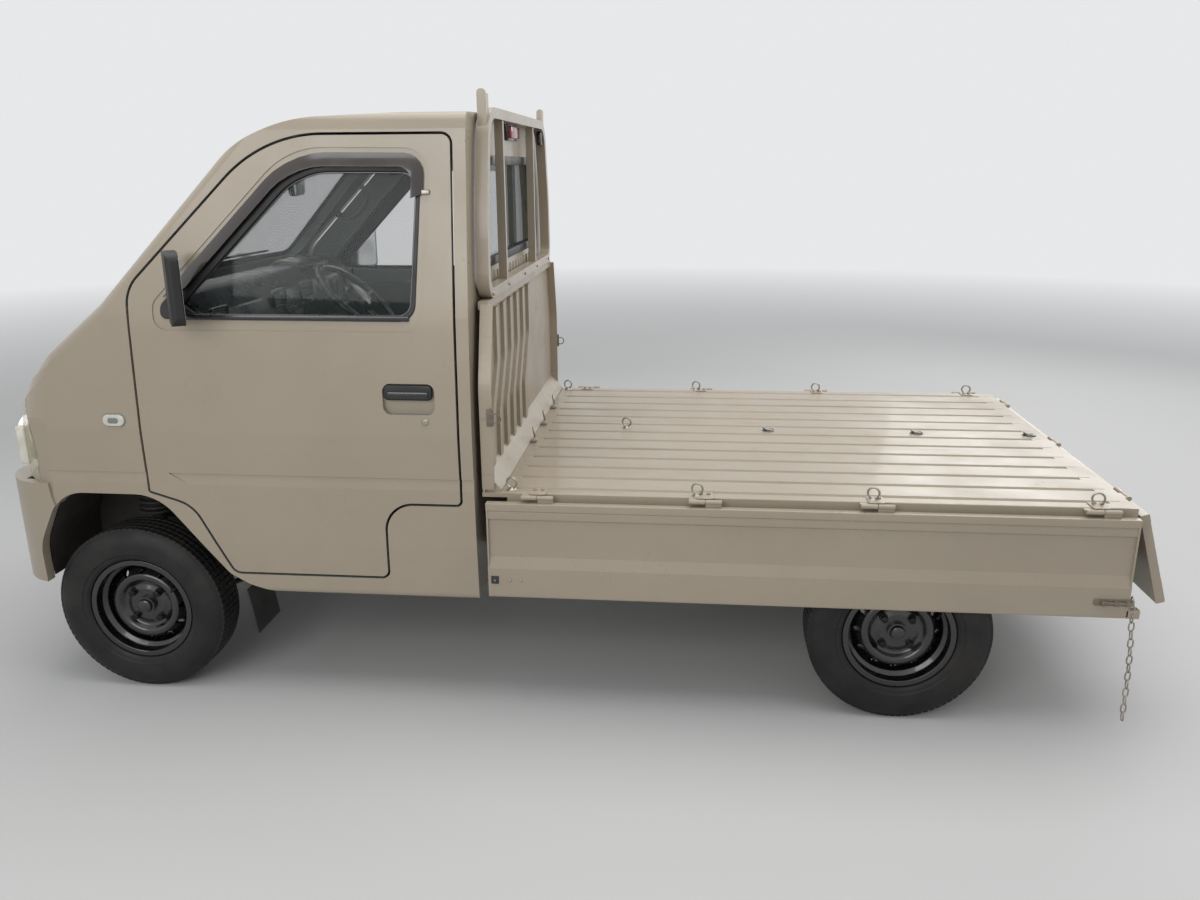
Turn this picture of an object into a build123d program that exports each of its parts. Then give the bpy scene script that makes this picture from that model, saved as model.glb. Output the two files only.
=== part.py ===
"""Kei truck with a drop-side bed, all three gates folded down.

Units are millimetres. +X points to the rear, +Y to the truck's right, +Z up.
Every x below is a station, measured from the front face of the bumper.
Each node is moved by -ORIGIN_STATION when it is written, so the shared origin
lies on the ground below the middle of the whole truck.
"""

from build123d import *
import math
import os

# Overall sizes
ORIGIN_STATION = 1748.8
HALF_WIDTH = 737.5
WHEELBASE = 2350.0
FRONT_AXLE = 420.0
REAR_AXLE = FRONT_AXLE + WHEELBASE
FRONT_TRACK = 1290.0
REAR_TRACK = 1280.0

# Wheels: 145 R12 on a 12 x 4.00 steel rim
TYRE_R = 271.0
TYRE_WIDTH = 145.0
RIM_FLANGE_R = 165.0
RIM_WIDTH = 118.0
STUB_R = 15.0
HUB_BORE_R = 15.5
NUT_CIRCLE_R = 57.15
NUT_COUNT = 4
VENT_COUNT = 12

# Steering
KINGPIN_Y = 560.0

# Cab
CAB_REAR = 1518.0
CAB_BOTTOM = 351.0
PANEL = 30.0
DOOR_THICK = 45.0
DOOR_SKIN = 22.0
DOOR_GAP = 7.5
WING_REAR = 518.5
COWL_Z = 1232.0
ROOF_LOW = 1640.0
GLASS = 5.0
ARCH_BOTTOM = CAB_BOTTOM - 30.0

# Bed and gates
FLOOR_Z = 692.0
FLOOR_RIB = 14.0
BED_FRONT = 1549.0
BED_END = 3385.0
BED_HALF = 705.0
RAIL_HEIGHT = 72.0
GATE_HEIGHT = 295.0
TAILGATE_HEIGHT = 275.0
GATE_THICK = 25.0
GATE_FRONT = 1552.0
GATE_REAR = 3380.0
GATE_RAIL_REACH = 33.0
GATE_HINGE_Y = 730.0
GATE_HINGE_Z = FLOOR_Z - 5.0
GATE_DROP = 15.0
TAIL_HINGE_X = BED_END + 15.0
TAIL_LEAN = 17.0
TAIL_HALF = 703.0
HINGE_R = 7.0
HINGE_PIN_R = 3.6
HINGE_BORE_R = 4.0

# Ladder frame
FRAME_RAIL_Y = 360.0
FRAME_RAIL_WIDTH = 56.0

# Cab outlines: each row is two coordinates of a corner and its fillet radius
CAB_NOSE_PROFILE = [
    (28, 300, 0),
    (28, 937, 300),
    (366, COWL_Z, 0),
    (788, 1674, 450),
    (969, 1744, 480),
    (1900, 1782, 0),
    (1900, 300, 0),
]
NOSE_SWEEP_X = 4700.0
NOSE_SWEEP_ANGLE = 18.0
CAB_SIDE = [
    (-200, CAB_BOTTOM, 0),
    (-200, 1772, 0),
    (CAB_REAR, 1772, 25),
    (CAB_REAR, CAB_BOTTOM, 0),
]
CAB_FRONT_HALF = [
    (690, CAB_BOTTOM, 10),
    (724, 356, 20),
    (732, 520, 0),
    (HALF_WIDTH, 865, 200),
    (722, 1180, 600),
    (655, 1712, 0),
    (640, 1756, 35),
    (250, 1768, 600),
]
CAB_PLAN = [
    (1700, -738, 0),
    (83, -738, 190),
    (-4, 0, 0),
    (83, 738, 190),
    (1700, 738, 0),
]
# Rounded fold between side and front, in plan at the cowl's height
FOLD_PLAN = [
    (425.3, -717, 60),
    (2600, -717, 0),
    (2600, 2600, 0),
    (-85.5, 2600, 0),
]
PILLAR_DIRECTION = (0.9466, 0.126, 1.0)
NOSE_DIRECTION = (1.24, 0.066, 1.0)

# Rounding of the nose's upper corners, one oblique prism each
NOSE_FOLDS = [
    # station, height, fillet radius, lean of station on height
    (112.9, 906.8, 150, 0.21),
    (151.0, 974.8, 115, 0.478),
    (203.3, 1037.5, 85, 0.792),
]

DOOR_OUTLINE = [
    (526, 680, 4),
    (526, 1279, 110),
    (953, 1697, 400),
    (1475, 1697, 25),
    (1475, 661, 12),
    (1245, 661, 90),
    (1240, 422, 20),
    (762, 422, 30),
    (655, 640, 110),
]
WINDOW_OUTLINE = [
    (620, 1197, 18),
    (620, 1235, 30),
    (1026, 1645, 230),
    (1396, 1641, 50),
    (1366, 1194, 50),
]
WINDOW_DIP = [
    (598, 1165, 40),
    (598, 1243, 45),
    (1020, 1667, 240),
    (1419, 1662, 68),
    (1388, 1165, 60),
]
HANDLE_RECESS = [(1262, 930, 24), (1262, 1020, 24), (1414, 1020, 24), (1414, 930, 24)]
MIRROR_FOOT = [(622.5, 1199.5, 16), (622.5, 1234, 28), (651, 1262.5, 8), (744, 1199.5, 6)]
MIRROR_CENTRE = (716, -800, 1295)
MIRROR_TURN = 32.0
ARCH_OUTLINE = [
    (147, ARCH_BOTTOM, 0),
    (143, 490, 150),
    (235, 668, 120),
    (545, 667, 150),
    (742, 415, 60),
    (800, CAB_BOTTOM + 30, 40),
    (890, CAB_BOTTOM, 0),
    (890, ARCH_BOTTOM, 0),
]
LINER_TOP = 684.0
LINER_OUTLINE = [
    (128, ARCH_BOTTOM + 40, 0),
    (128, 500, 150),
    (222, LINER_TOP, 120),
    (552, LINER_TOP, 150),
    (756, 420, 20),
    (756, ARCH_BOTTOM + 40, 0),
]
BUMPER_TOP = 697.0
BUMPER_SIDE = [
    (28, 369, 12),
    (12, 450, 60),
    (0, 620, 60),
    (4, BUMPER_TOP, 14),
    (205, BUMPER_TOP, 0),
    (208, 655, 30),
    (228, 585, 0),
    (228, 369, 0),
]
BUMPER_PLAN = [
    (400, -741, 0),
    (20, -741, 175),
    (0, 0, 2500),
    (20, 741, 175),
    (400, 741, 0),
]

LAMP_SIDE = [(-20, 700, 0), (168, 700, 14), (172, 800, 200), (142, 955, 12), (-20, 955, 0)]
LAMP_FRONT = [(-800, 700, 0), (-800, 994, 0), (-500, 868, 40), (-470, 700, 20)]

# Number plate: two bolt holes in the bumper's face
PLATE_HOLE_Y = 105.0
PLATE_HOLE_Z = 560.0
PLATE_HOLE_R = 3.5

# Tow eyes: plates on the left frame rail
TOW_EYE_R = 14.0
TOW_EYE_THICK = 14.0
TOW_FRONT = (92.0, 344.0)
TOW_REAR = (3322.0, 466.0)


def face(rows, grow=0.0):
    """Flat face from corner rows (u, v, fillet radius), grown outwards if asked."""
    points = [(u, v) for u, v, _ in rows]
    flat = make_face(FilletPolyline(*points, radius=[r for _, _, r in rows], close=True))
    return offset(flat, grow) if grow else flat


def side_prism(rows, y_low, y_high, grow=0.0):
    """Solid with the side outline rows (x, z, radius) between two y values."""
    plane = Plane(origin=(0, y_high, 0), x_dir=(1, 0, 0), z_dir=(0, -1, 0))
    return extrude(plane * face(rows, grow), y_high - y_low)


def front_prism(rows, x_low, x_high, grow=0.0):
    """Solid with the front outline rows (y, z, radius) between two stations."""
    plane = Plane(origin=(x_low, 0, 0), x_dir=(0, 1, 0), z_dir=(1, 0, 0))
    return extrude(plane * face(rows, grow), x_high - x_low)


def plan_prism(rows, z_low, z_high, grow=0.0):
    """Solid with the plan outline rows (x, y, radius) between two heights."""
    return extrude(Plane(origin=(0, 0, z_low)) * face(rows, grow), z_high - z_low)


def block(x_low, x_high, y_low, y_high, z_low, z_high):
    """Rectangular solid from its low and high corners."""
    centre = ((x_low + x_high) / 2, (y_low + y_high) / 2, (z_low + z_high) / 2)
    return Pos(*centre) * Box(x_high - x_low, y_high - y_low, z_high - z_low)


def rod(start, end, radius):
    """Round bar between two points."""
    first, last = Vector(start), Vector(end)
    axis = last - first
    return Plane(origin=(first + last) / 2, z_dir=axis) * Cylinder(radius, axis.length)


def other_side(shape):
    """The same shape on the truck's other side."""
    return mirror(shape, about=Plane.XZ)


def both_sides(shape):
    """The shape and its mirror image."""
    return shape + other_side(shape)


def pair(shape):
    """Two solids that don't touch, one on each side."""
    return Compound([shape, other_side(shape)])


def ring(centre, radius, wire, normal):
    """Round ring, such as an eye or a steering wheel's rim."""
    return Plane(origin=centre, z_dir=normal) * Torus(radius, wire)


def bent_tube(points, radii, section):
    """Round bar along straight runs joined by tangent arcs."""
    path = FilletPolyline(*points, radius=radii)
    start = Plane(origin=path @ 0, z_dir=path % 0)
    return sweep(start * Circle(section), path=path)


def write(name, shape):
    """Moves one node to the shared origin and writes its file."""
    export_step(Pos(-ORIGIN_STATION, 0, 0) * shape, f"parts/{name}.step")


# Cab body


def cab_form(inset=0.0):
    """The cab's outer form, or the same form set in on every side.

    Nose, windscreen and roof front are one profile swept about a far upright axis.
    """
    upright = Plane(origin=(0, 0, 0), x_dir=(1, 0, 0), z_dir=(0, -1, 0))
    axis = Axis((NOSE_SWEEP_X, 0, 0), (0, 0, 1))
    swept = revolve(upright * face(CAB_NOSE_PROFILE, -inset), axis, 2 * NOSE_SWEEP_ANGLE)
    swept = swept.rotate(axis, -NOSE_SWEEP_ANGLE)
    side = side_prism(CAB_SIDE, -800, 800, -inset)
    front = front_prism(mirrored_rows(CAB_FRONT_HALF), -100, 1700, -inset)
    plan = plan_prism(CAB_PLAN, 300, 1800, -inset)
    corner = Plane(origin=(0, 0, COWL_Z)) * face(FOLD_PLAN, -inset)
    pillar = extrude(corner, 900, dir=Vector(*PILLAR_DIRECTION).normalized())
    wing = extrude(corner, 1500, dir=-Vector(*NOSE_DIRECTION).normalized())
    fold = pillar + wing
    for station, height, radius, lean in NOSE_FOLDS:
        fold &= nose_fold(station, height, radius, lean, inset)
    return swept & side & front & plan & fold & other_side(fold)


def nose_fold(station, height, radius, lean, inset):
    """Oblique prism through one point of the nose's left corner."""
    x = station - lean * (height - 200)
    y = -736 - 0.05 * (height - 200)
    rows = [(x, y, radius), (x + 2600, y, 0), (x + 2600, y + 3400, 0), (x - 523, y + 3400, 0)]
    corner = Plane(origin=(0, 0, 200)) * face(rows, -inset)
    return extrude(corner, 2400, dir=Vector(lean, 0.05, 1).normalized())


def mirrored_rows(half):
    """A closed front outline from its right half."""
    return half + [(-u, v, r) for u, v, r in reversed(half)]


def cab_shell(thickness, inset=0.0):
    """The skin of the cab form, of one thickness."""
    return cab_form(inset) - cab_form(inset + thickness)


SCREEN_OPENING = [
    (-612, 1262, 40),
    (-545, ROOF_LOW, 50),
    (545, ROOF_LOW, 50),
    (612, 1262, 40),
]
REAR_WINDOW = [
    (-520, 1330, 55),
    (-470, 1630, 60),
    (470, 1630, 60),
    (520, 1330, 55),
]
ROOF_HALF = 590.0
ROOF_FRONT = 860.0
NOSE_HALF = 470.0
NOSE_LOW = 699.0


def build_cab():
    """Nose, wings, side frames, roof, back wall and the fixed glass."""
    shell = cab_shell(PANEL)
    wall = cab_shell(DOOR_THICK)
    lamp_zone = side_prism(LAMP_SIDE, -800, -450) & front_prism(LAMP_FRONT, -20, 300)
    lamp_zone += other_side(lamp_zone)
    arch = side_prism(ARCH_OUTLINE, -800, 800)
    liner_zone = side_prism(LINER_OUTLINE, -800, 800)
    screen_hole = front_prism(SCREEN_OPENING, 250, ROOF_FRONT)
    window_hole = front_prism(REAR_WINDOW, CAB_REAR - 80, CAB_REAR + 40)
    door_hole = side_prism(DOOR_OUTLINE, -800, 0, DOOR_GAP)

    nose = shell & block(0, WING_REAR, -800, 800, NOSE_LOW, COWL_Z)
    write("front_panel", nose & block(0, WING_REAR, -NOSE_HALF, NOSE_HALF, NOSE_LOW, COWL_Z))

    wing = (nose & block(0, WING_REAR, -800, -NOSE_HALF, NOSE_LOW, COWL_Z)) - lamp_zone
    wing_side = wall & block(130, WING_REAR, -800, -600, 420, NOSE_LOW)
    wing += wing_side - arch - bumper_form(0) - block(0, 800, -692, 0, 300, NOSE_LOW)
    wing -= side_ledge(2.5)
    write("wing_left", wing)
    write("wing_right", other_side(wing))

    lamp = (cab_shell(50, -1.5) & lamp_zone & block(-50, 400, -800, 800, 600, 1000))
    write("headlamps", lamp)

    side_zone = block(WING_REAR, CAB_REAR + 1, -800, -ROOF_HALF, CAB_BOTTOM, 1800)
    pillar_zone = block(250, WING_REAR + 1, -800, -ROOF_HALF, COWL_Z, 1800)
    pillar_zone += block(250, ROOF_FRONT, -800, -300, 1262, ROOF_LOW)
    side = wall & (side_zone + pillar_zone)
    back_strip = block(CAB_REAR - 46, CAB_REAR + 1, -ROOF_HALF - 1, 0, 300, 1800)
    side = side - door_hole - arch - screen_hole - back_strip - side_ledge(4.5)
    side = keep_largest(side)
    write("cab_side_left", side)
    write("cab_side_right", other_side(side))

    roof = shell & block(650, CAB_REAR + 1, -ROOF_HALF, ROOF_HALF, ROOF_LOW, 1800)
    roof = roof - screen_hole - block(CAB_REAR - 46, CAB_REAR + 1, -800, 800, 300, 1738)
    write("cab_roof", keep_largest(roof))

    back = shell & block(CAB_REAR - 29, CAB_REAR + 1, -ROOF_HALF, ROOF_HALF, 530, 1738)
    write("cab_back_wall", back - window_hole)

    cowl = shell & block(250, 700, -ROOF_HALF, ROOF_HALF, COWL_Z, 1262)
    write("cowl", keep_largest(cowl - screen_hole))

    glass = cab_shell(GLASS, 8) & front_prism(SCREEN_OPENING, 250, ROOF_FRONT, -1)
    write("windscreen", keep_largest(glass))
    pane = front_prism(REAR_WINDOW, CAB_REAR - 16, CAB_REAR - 16 + GLASS, -1)
    write("rear_window", pane)

    liner = side_prism(LINER_OUTLINE, 402, 676) - side_prism(LINER_OUTLINE, 410, 676, -6)
    liner -= block(128, 800, 402, 692, 200, ARCH_BOTTOM + 48)
    liner -= block(330, 510, 400, 412, 300, 520)
    liner -= block(735, 800, 635, 692, 300, 432)
    write("arch_liners", pair(liner))


def side_ledge(depth):
    """Wedge along the left side: a sharp step at its top that runs out at its foot."""
    y_top = -735.2 + depth
    wedge = [(-760, 703, 0), (-734.9, 703, 0), (y_top, 738, 0), (-760, 738, 0)]
    length = [(590, 738, 0), (650, 703, 0), (1530, 703, 0), (1530, 738, 0)]
    if depth < 4:
        length = [(188, 738, 0), (188, 703, 0), (WING_REAR + 1, 703, 0), (WING_REAR + 1, 738, 0)]
    return front_prism(wedge, 100, 1600) & side_prism(length, -800, -700)


def keep_largest(shape):
    """The largest solid of a shape, without offcuts."""
    return max(shape.solids(), key=lambda solid: solid.volume)


def bumper_form(inset):
    """The bumper's full block, before it is hollowed from behind."""
    return side_prism(BUMPER_SIDE, -800, 800, -inset) & plan_prism(BUMPER_PLAN, 300, 700, -inset)


def build_bumper():
    """Hollow bumper with a lower air slot."""
    body = bumper_form(0) - Pos(30, 0, 0) * bumper_form(26)
    body -= plan_prism(
        [(400, -712, 0), (62, -712, 150), (32, 0, 2500), (62, 712, 150), (400, 712, 0)], 395, 674
    )
    body -= block(108, 300, -700, 700, 300, 720) + side_prism(ARCH_OUTLINE, -800, 800)
    rim_band = bumper_form(0) - bumper_form(14)
    for slot_low in (420, 452, 484):
        body -= rim_band & block(-20, 60, -330, 330, slot_low, slot_low + 20)
    for y in (-PLATE_HOLE_Y, PLATE_HOLE_Y):
        body -= rod((-10, y, PLATE_HOLE_Z), (60, y, PLATE_HOLE_Z), PLATE_HOLE_R)
    write("front_bumper", keep_largest(body))


# Doors


def side_skin(outer, inner):
    """Skin of the cab's sides only, between two depths below the surface."""
    rows = mirrored_rows(CAB_FRONT_HALF)
    skin = front_prism(rows, 450, 1500, -outer) - front_prism(rows, 450, 1500, -inner)
    return skin & block(450, 1500, -800, -500, 300, 1740)


def build_doors():
    """Door shells, their glass and mirrors."""
    skin = side_skin(0, DOOR_SKIN) & side_prism(DOOR_OUTLINE, -800, 0)
    inner = side_skin(DOOR_SKIN - 1, DOOR_THICK) & side_prism(DOOR_OUTLINE, -800, 0, -16)
    window = side_prism(WINDOW_OUTLINE, -800, 0)
    handle_recess = side_prism(HANDLE_RECESS, -760, -718)
    window_dip = side_skin(-6, 3) & side_prism(WINDOW_DIP, -800, 0)
    door = skin + inner - window - handle_recess - window_dip - side_ledge(4.5)
    write("door_left", door)
    write("door_right", other_side(door))
    glass = side_skin(14, 14 + GLASS) & side_prism(WINDOW_OUTLINE, -800, 0, -0.5)
    write("door_glass_left", glass)
    write("door_glass_right", other_side(glass))
    head = plan_prism([(-18, -62, 16), (-18, 62, 16), (18, 62, 5), (18, -62, 5)], -100, 100)
    head &= front_prism([(-62, -100, 26), (-62, 100, 26), (62, 100, 26), (62, -100, 26)], -20, 20)
    head = Pos(*MIRROR_CENTRE) * Rot(0, 0, MIRROR_TURN) * head
    foot = side_skin(-2, 12) & side_prism(MIRROR_FOOT, -800, 0)
    arm = rod((668, -712, 1222), (702, -778, 1232), 13)
    mirror_unit = head + foot + arm
    write("mirror_left", mirror_unit)
    write("mirror_right", other_side(mirror_unit))


# Cab inside

FLOOR_PAN_HALF = 680.0
WHEEL_HUB = (838, 330, 1120)
WHEEL_TILT = 48.0
WHEEL_GRIP_R = 180.0
WHEEL_GRIP_WIRE = 13.0


def build_inside():
    """Floor, dashboard, steering wheel and seats."""
    floor_line = [
        (310, 700, 0),
        (405, 480, 60),
        (860, 480, 30),
        (890, 742, 30),
        (CAB_REAR - 33, 742, 0),
    ]
    path = FilletPolyline(*[(x, z) for x, z, _ in floor_line], radius=[60, 30, 30])
    section = offset(path, 8, side=Side.RIGHT)
    plane = Plane(origin=(0, FLOOR_PAN_HALF, 0), x_dir=(1, 0, 0), z_dir=(0, -1, 0))
    pan = extrude(plane * make_face(section), 2 * FLOOR_PAN_HALF)
    wells = side_prism(LINER_OUTLINE, 402, 800)
    pan -= wells + other_side(wells)
    pan -= both_sides(block(CAB_REAR - 46, CAB_REAR, 588, 700, 700, 760))
    rear_riser = block(CAB_REAR - 41, CAB_REAR - 33, -588, 588, 530, 735)
    write("cab_floor", pan + rear_riser)

    dash = side_prism(
        [
            (430, 1185, 20),
            (600, 1185, 40),
            (720, 1140, 40),
            (730, 1010, 30),
            (640, 900, 40),
            (430, 900, 20),
        ],
        -640,
        640,
    )
    hood = side_prism([(520, 1170, 10), (600, 1236, 40), (700, 1216, 20), (722, 1120, 10)], 200, 470)
    lean = math.radians(WHEEL_TILT)
    column = Vector(math.cos(lean), 0, math.sin(lean))
    tunnel = rod(Vector(*WHEEL_HUB) - column * 230, Vector(*WHEEL_HUB), 31)
    write("dashboard", dash + hood - tunnel)

    wheel = Torus(WHEEL_GRIP_R, WHEEL_GRIP_WIRE)
    wheel += rod((0, 0, -215), (0, 0, 2), 24) + rod((0, 0, -40), (0, 0, 6), 52)
    for tip in ((0, WHEEL_GRIP_R - 4, 0), (0, 4 - WHEEL_GRIP_R, 0), (-WHEEL_GRIP_R + 4, 0, 0)):
        wheel += rod((0, 0, -12), tip, 11)
    hub_plane = Plane(origin=WHEEL_HUB, x_dir=(-math.sin(lean), 0, math.cos(lean)), z_dir=column)
    write("steering_wheel", hub_plane * wheel)

    cushion = side_prism([(905, 752, 30), (900, 862, 40), (1330, 880, 40), (1370, 752, 20)], 110, 585)
    write("seat_cushions", pair(cushion))
    back = side_prism([(1340, 884, 30), (1385, 1300, 28), (1455, 1300, 28), (1445, 884, 20)], 110, 585)
    write("seat_backs", pair(back))


# Ladder frame, axles and drive line

FRAME_LINE = [(115, 420), (1450, 420), (1900, 540), (3350, 540)]
FRAME_DEPTH = 90.0
FRAME_WELD = 1400.0
CROSS_STATIONS = (145, 760, 1780, 2360, 3000, 3320)


def frame_height(station):
    """Centre height of the frame rails at a station."""
    for (x_a, z_a), (x_b, z_b) in zip(FRAME_LINE, FRAME_LINE[1:]):
        if x_a <= station <= x_b:
            return z_a + (z_b - z_a) * (station - x_a) / (x_b - x_a)
    return FRAME_LINE[-1][1]


def build_frame():
    """Two boxed rails in welded halves, and the cross members that butt against their inner walls."""
    half = FRAME_DEPTH / 2
    low = [(x, z - half, 0 if i in (0, 3) else 180) for i, (x, z) in enumerate(FRAME_LINE)]
    high = [(x, z + half, 0 if i in (0, 3) else 180) for i, (x, z) in enumerate(FRAME_LINE)]
    rows = low + high[::-1]
    y_low = FRAME_RAIL_Y - FRAME_RAIL_WIDTH / 2
    rails = both_sides(side_prism(rows, y_low, y_low + FRAME_RAIL_WIDTH))
    front_half = block(0, FRAME_WELD, -500, 500, 200, 700)
    members = []
    for station in CROSS_STATIONS:
        z = frame_height(station)
        members.append(block(station - 22, station + 22, -y_low, y_low, z - 30, z + 30))
    write("frame_cross_members", Compound([solid for item in members for solid in item.solids()]))
    y_high = -y_low
    front_eye = [
        (68, 320, 16),
        (68, 366, 12),
        (118, 366, 0),
        (118, 378, 0),
        (152, 378, 0),
        (152, 350, 8),
        (120, 320, 16),
    ]
    rear_eye = [(3298, 497, 0), (3298, 442, 16), (3346, 442, 16), (3346, 497, 0)]
    eyes = []
    for rows, (x, z) in ((front_eye, TOW_FRONT), (rear_eye, TOW_REAR)):
        plate = side_prism(rows, y_high - TOW_EYE_THICK, y_high)
        eyes.append(plate - rod((x, y_high - 30, z), (x, y_high + 30, z), TOW_EYE_R))
    write("chassis_frame", (rails & front_half) + eyes[0])
    write("frame_rear_rails", (rails - front_half) + eyes[1])
    engine = side_prism([(905, 330, 20), (905, 660, 30), (1330, 660, 30), (1330, 330, 20)], -190, 190)
    gearbox = rod((1325, 0, 430), (1720, 0, 420), 95)
    write("engine_block", engine + gearbox)


def build_rear_axle():
    """Axle tube with its differential housing, springs, shaft, exhaust and tank."""
    hub_face = REAR_TRACK / 2 - 62
    tube = rod((REAR_AXLE, -hub_face, TYRE_R), (REAR_AXLE, hub_face, TYRE_R), 32)
    tip = REAR_TRACK / 2 + 20
    stub = rod((REAR_AXLE, -tip, TYRE_R), (REAR_AXLE, tip, TYRE_R), STUB_R)
    stub += both_sides(rod((REAR_AXLE, hub_face + 4, TYRE_R), (REAR_AXLE, hub_face + 9, TYRE_R), 100))
    housing = Pos(REAR_AXLE, 0, TYRE_R) * Sphere(112)
    housing = housing & block(REAR_AXLE - 200, REAR_AXLE + 200, -85, 85, 100, 500)
    nose = rod((REAR_AXLE - 190, 0, TYRE_R + 8), (REAR_AXLE, 0, TYRE_R), 45)
    pads = both_sides(block(REAR_AXLE - 45, REAR_AXLE + 45, 424, 476, TYRE_R + 20, TYRE_R + 48))
    write("rear_axle", tube + stub + housing + nose + pads)

    spring_y = 450.0
    span = 470.0
    leaf = None
    for length, level in ((1.0, 0), (0.78, 1), (0.55, 2)):
        half = span * length
        z_mid = TYRE_R + 75 - 8 * level
        z_end = z_mid + 70 * length * length
        arc = ThreePointArc((-half, z_end), (0, z_mid), (half, z_end))
        strip = make_face(offset(arc, 3.8, side=Side.BOTH))
        plane = Plane(origin=(REAR_AXLE, spring_y + 25, 0), x_dir=(1, 0, 0), z_dir=(0, -1, 0))
        layer = extrude(plane * strip, 50)
        leaf = layer if leaf is None else leaf + layer
    saddle = block(REAR_AXLE - 40, REAR_AXLE + 40, spring_y - 25, spring_y + 25, TYRE_R + 48, TYRE_R + 82)
    front_eye = rod((REAR_AXLE - span, 384, 420), (REAR_AXLE - span, spring_y + 28, 420), 17)
    shackle = rod((REAR_AXLE + span, 384, 420), (REAR_AXLE + span, spring_y + 28, 420), 17)
    hangers = block(REAR_AXLE - span - 18, REAR_AXLE - span + 18, 388, 420, 400, 560)
    hangers += block(REAR_AXLE + span - 18, REAR_AXLE + span + 18, 388, 420, 400, 560)
    write("rear_springs", pair(leaf + saddle + front_eye + shackle + hangers))

    shaft = rod((1726, 0, 420), (REAR_AXLE - 194, 0, TYRE_R + 8), 27)
    write("propeller_shaft", shaft)

    pipe = bent_tube([(1340, 120, 400), (1500, 215, 385), (2200, 215, 385)], [120], 19)
    silencer = rod((1900, 215, 385), (2340, 215, 385), 68)
    tail = bent_tube(
        [(2330, 215, 385), (2560, 215, 420), (2640, 215, 455), (2900, 215, 455), (3200, 250, 420)],
        [120, 120, 120],
        17,
    )
    write("exhaust", pipe + silencer + tail)
    tank = plan_prism([(1620, 410, 30), (1620, 640, 30), (2160, 640, 30), (2160, 410, 30)], 330, 520)
    tank = fillet(tank.edges().filter_by(Axis.X), 28)
    write("fuel_tank", other_side(tank))
    box = plan_prism([(1650, 410, 12), (1650, 590, 12), (1920, 590, 12), (1920, 410, 12)], 350, 520)
    write("battery_box", box)


SPRING_TURNS = 6
SPRING_PITCH = 19.0


def build_front_axle():
    """Cross member with lower arms, struts and the two steered knuckles."""
    member = block(FRONT_AXLE - 40, FRONT_AXLE + 40, -330, 330, 300, 372)
    arm = block(FRONT_AXLE - 26, FRONT_AXLE + 26, 300, 568, 190, 208)
    drop = block(FRONT_AXLE - 30, FRONT_AXLE + 30, 286, 316, 190, 310)
    radius_rod = rod((FRONT_AXLE, 545, 199), (760, 345, 300), 9)
    hanger = block(745, 775, 332, 360, 290, 375)
    ball_joint = rod((FRONT_AXLE, KINGPIN_Y, 200), (FRONT_AXLE, KINGPIN_Y, 221), 12)
    write("front_suspension", member + both_sides(arm + drop + radius_rod + hanger + ball_joint))
    strut_y = KINGPIN_Y - 30
    rows = [(0, 332, 0), (22, 332, 3), (22, 546, 0), (56, 546, 2), (56, 554, 0)]
    for turn in range(SPRING_TURNS):
        low = 554 + turn * SPRING_PITCH
        rows += [(44, low + 1, 0), (55, low + 7, 5), (55, low + 13, 5), (44, low + 19, 0)]
    rows += [(56, 670, 0), (56, 676, 2), (24, 676, 0), (24, LINER_TOP - 6, 0), (0, LINER_TOP - 6, 0)]
    strut = revolve(Plane.XZ * face(rows), Axis.Z)
    write("front_struts", pair(Pos(FRONT_AXLE, strut_y, 0) * strut))
    upright = block(FRONT_AXLE - 28, FRONT_AXLE + 28, 532, 572, 222, 330)
    stub = rod((FRONT_AXLE, KINGPIN_Y, TYRE_R), (FRONT_AXLE, FRONT_TRACK / 2 + 20, TYRE_R), STUB_R)
    disc = rod((FRONT_AXLE, 590, TYRE_R), (FRONT_AXLE, 600, TYRE_R), 104)
    caliper = block(FRONT_AXLE + 62, FRONT_AXLE + 110, 556, 612, TYRE_R - 44, TYRE_R + 44)
    steering_arm = rod((FRONT_AXLE + 20, 548, 302), (FRONT_AXLE + 140, 528, 302), 11)
    knuckle = upright + stub + disc + caliper + steering_arm
    write("knuckle_left", other_side(knuckle))
    write("knuckle_right", knuckle)


# Wheels


def tyre_form():
    """Tyre ring about the Y axis, centred on the origin."""
    half = TYRE_WIDTH / 2
    rows = [
        (RIM_FLANGE_R - 12.5, -RIM_WIDTH / 2 + 13.5, 2),
        (RIM_FLANGE_R + 1, -RIM_WIDTH / 2 + 8, 2),
        (RIM_FLANGE_R + 3, -half + 12, 4),
        (RIM_FLANGE_R + 40, -half, 26),
        (TYRE_R - 22, -half + 3, 14),
        (TYRE_R - 2, -half + 18, 6),
        (TYRE_R, 0, 0),
        (TYRE_R - 2, half - 18, 6),
        (TYRE_R - 22, half - 3, 14),
        (RIM_FLANGE_R + 40, half, 26),
        (RIM_FLANGE_R + 3, half - 12, 4),
        (RIM_FLANGE_R + 1, RIM_WIDTH / 2 - 8, 2),
        (RIM_FLANGE_R - 12.5, RIM_WIDTH / 2 - 13.5, 2),
    ]
    profile = Plane.XY * face(rows)
    return revolve(profile, Axis.Y)


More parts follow.
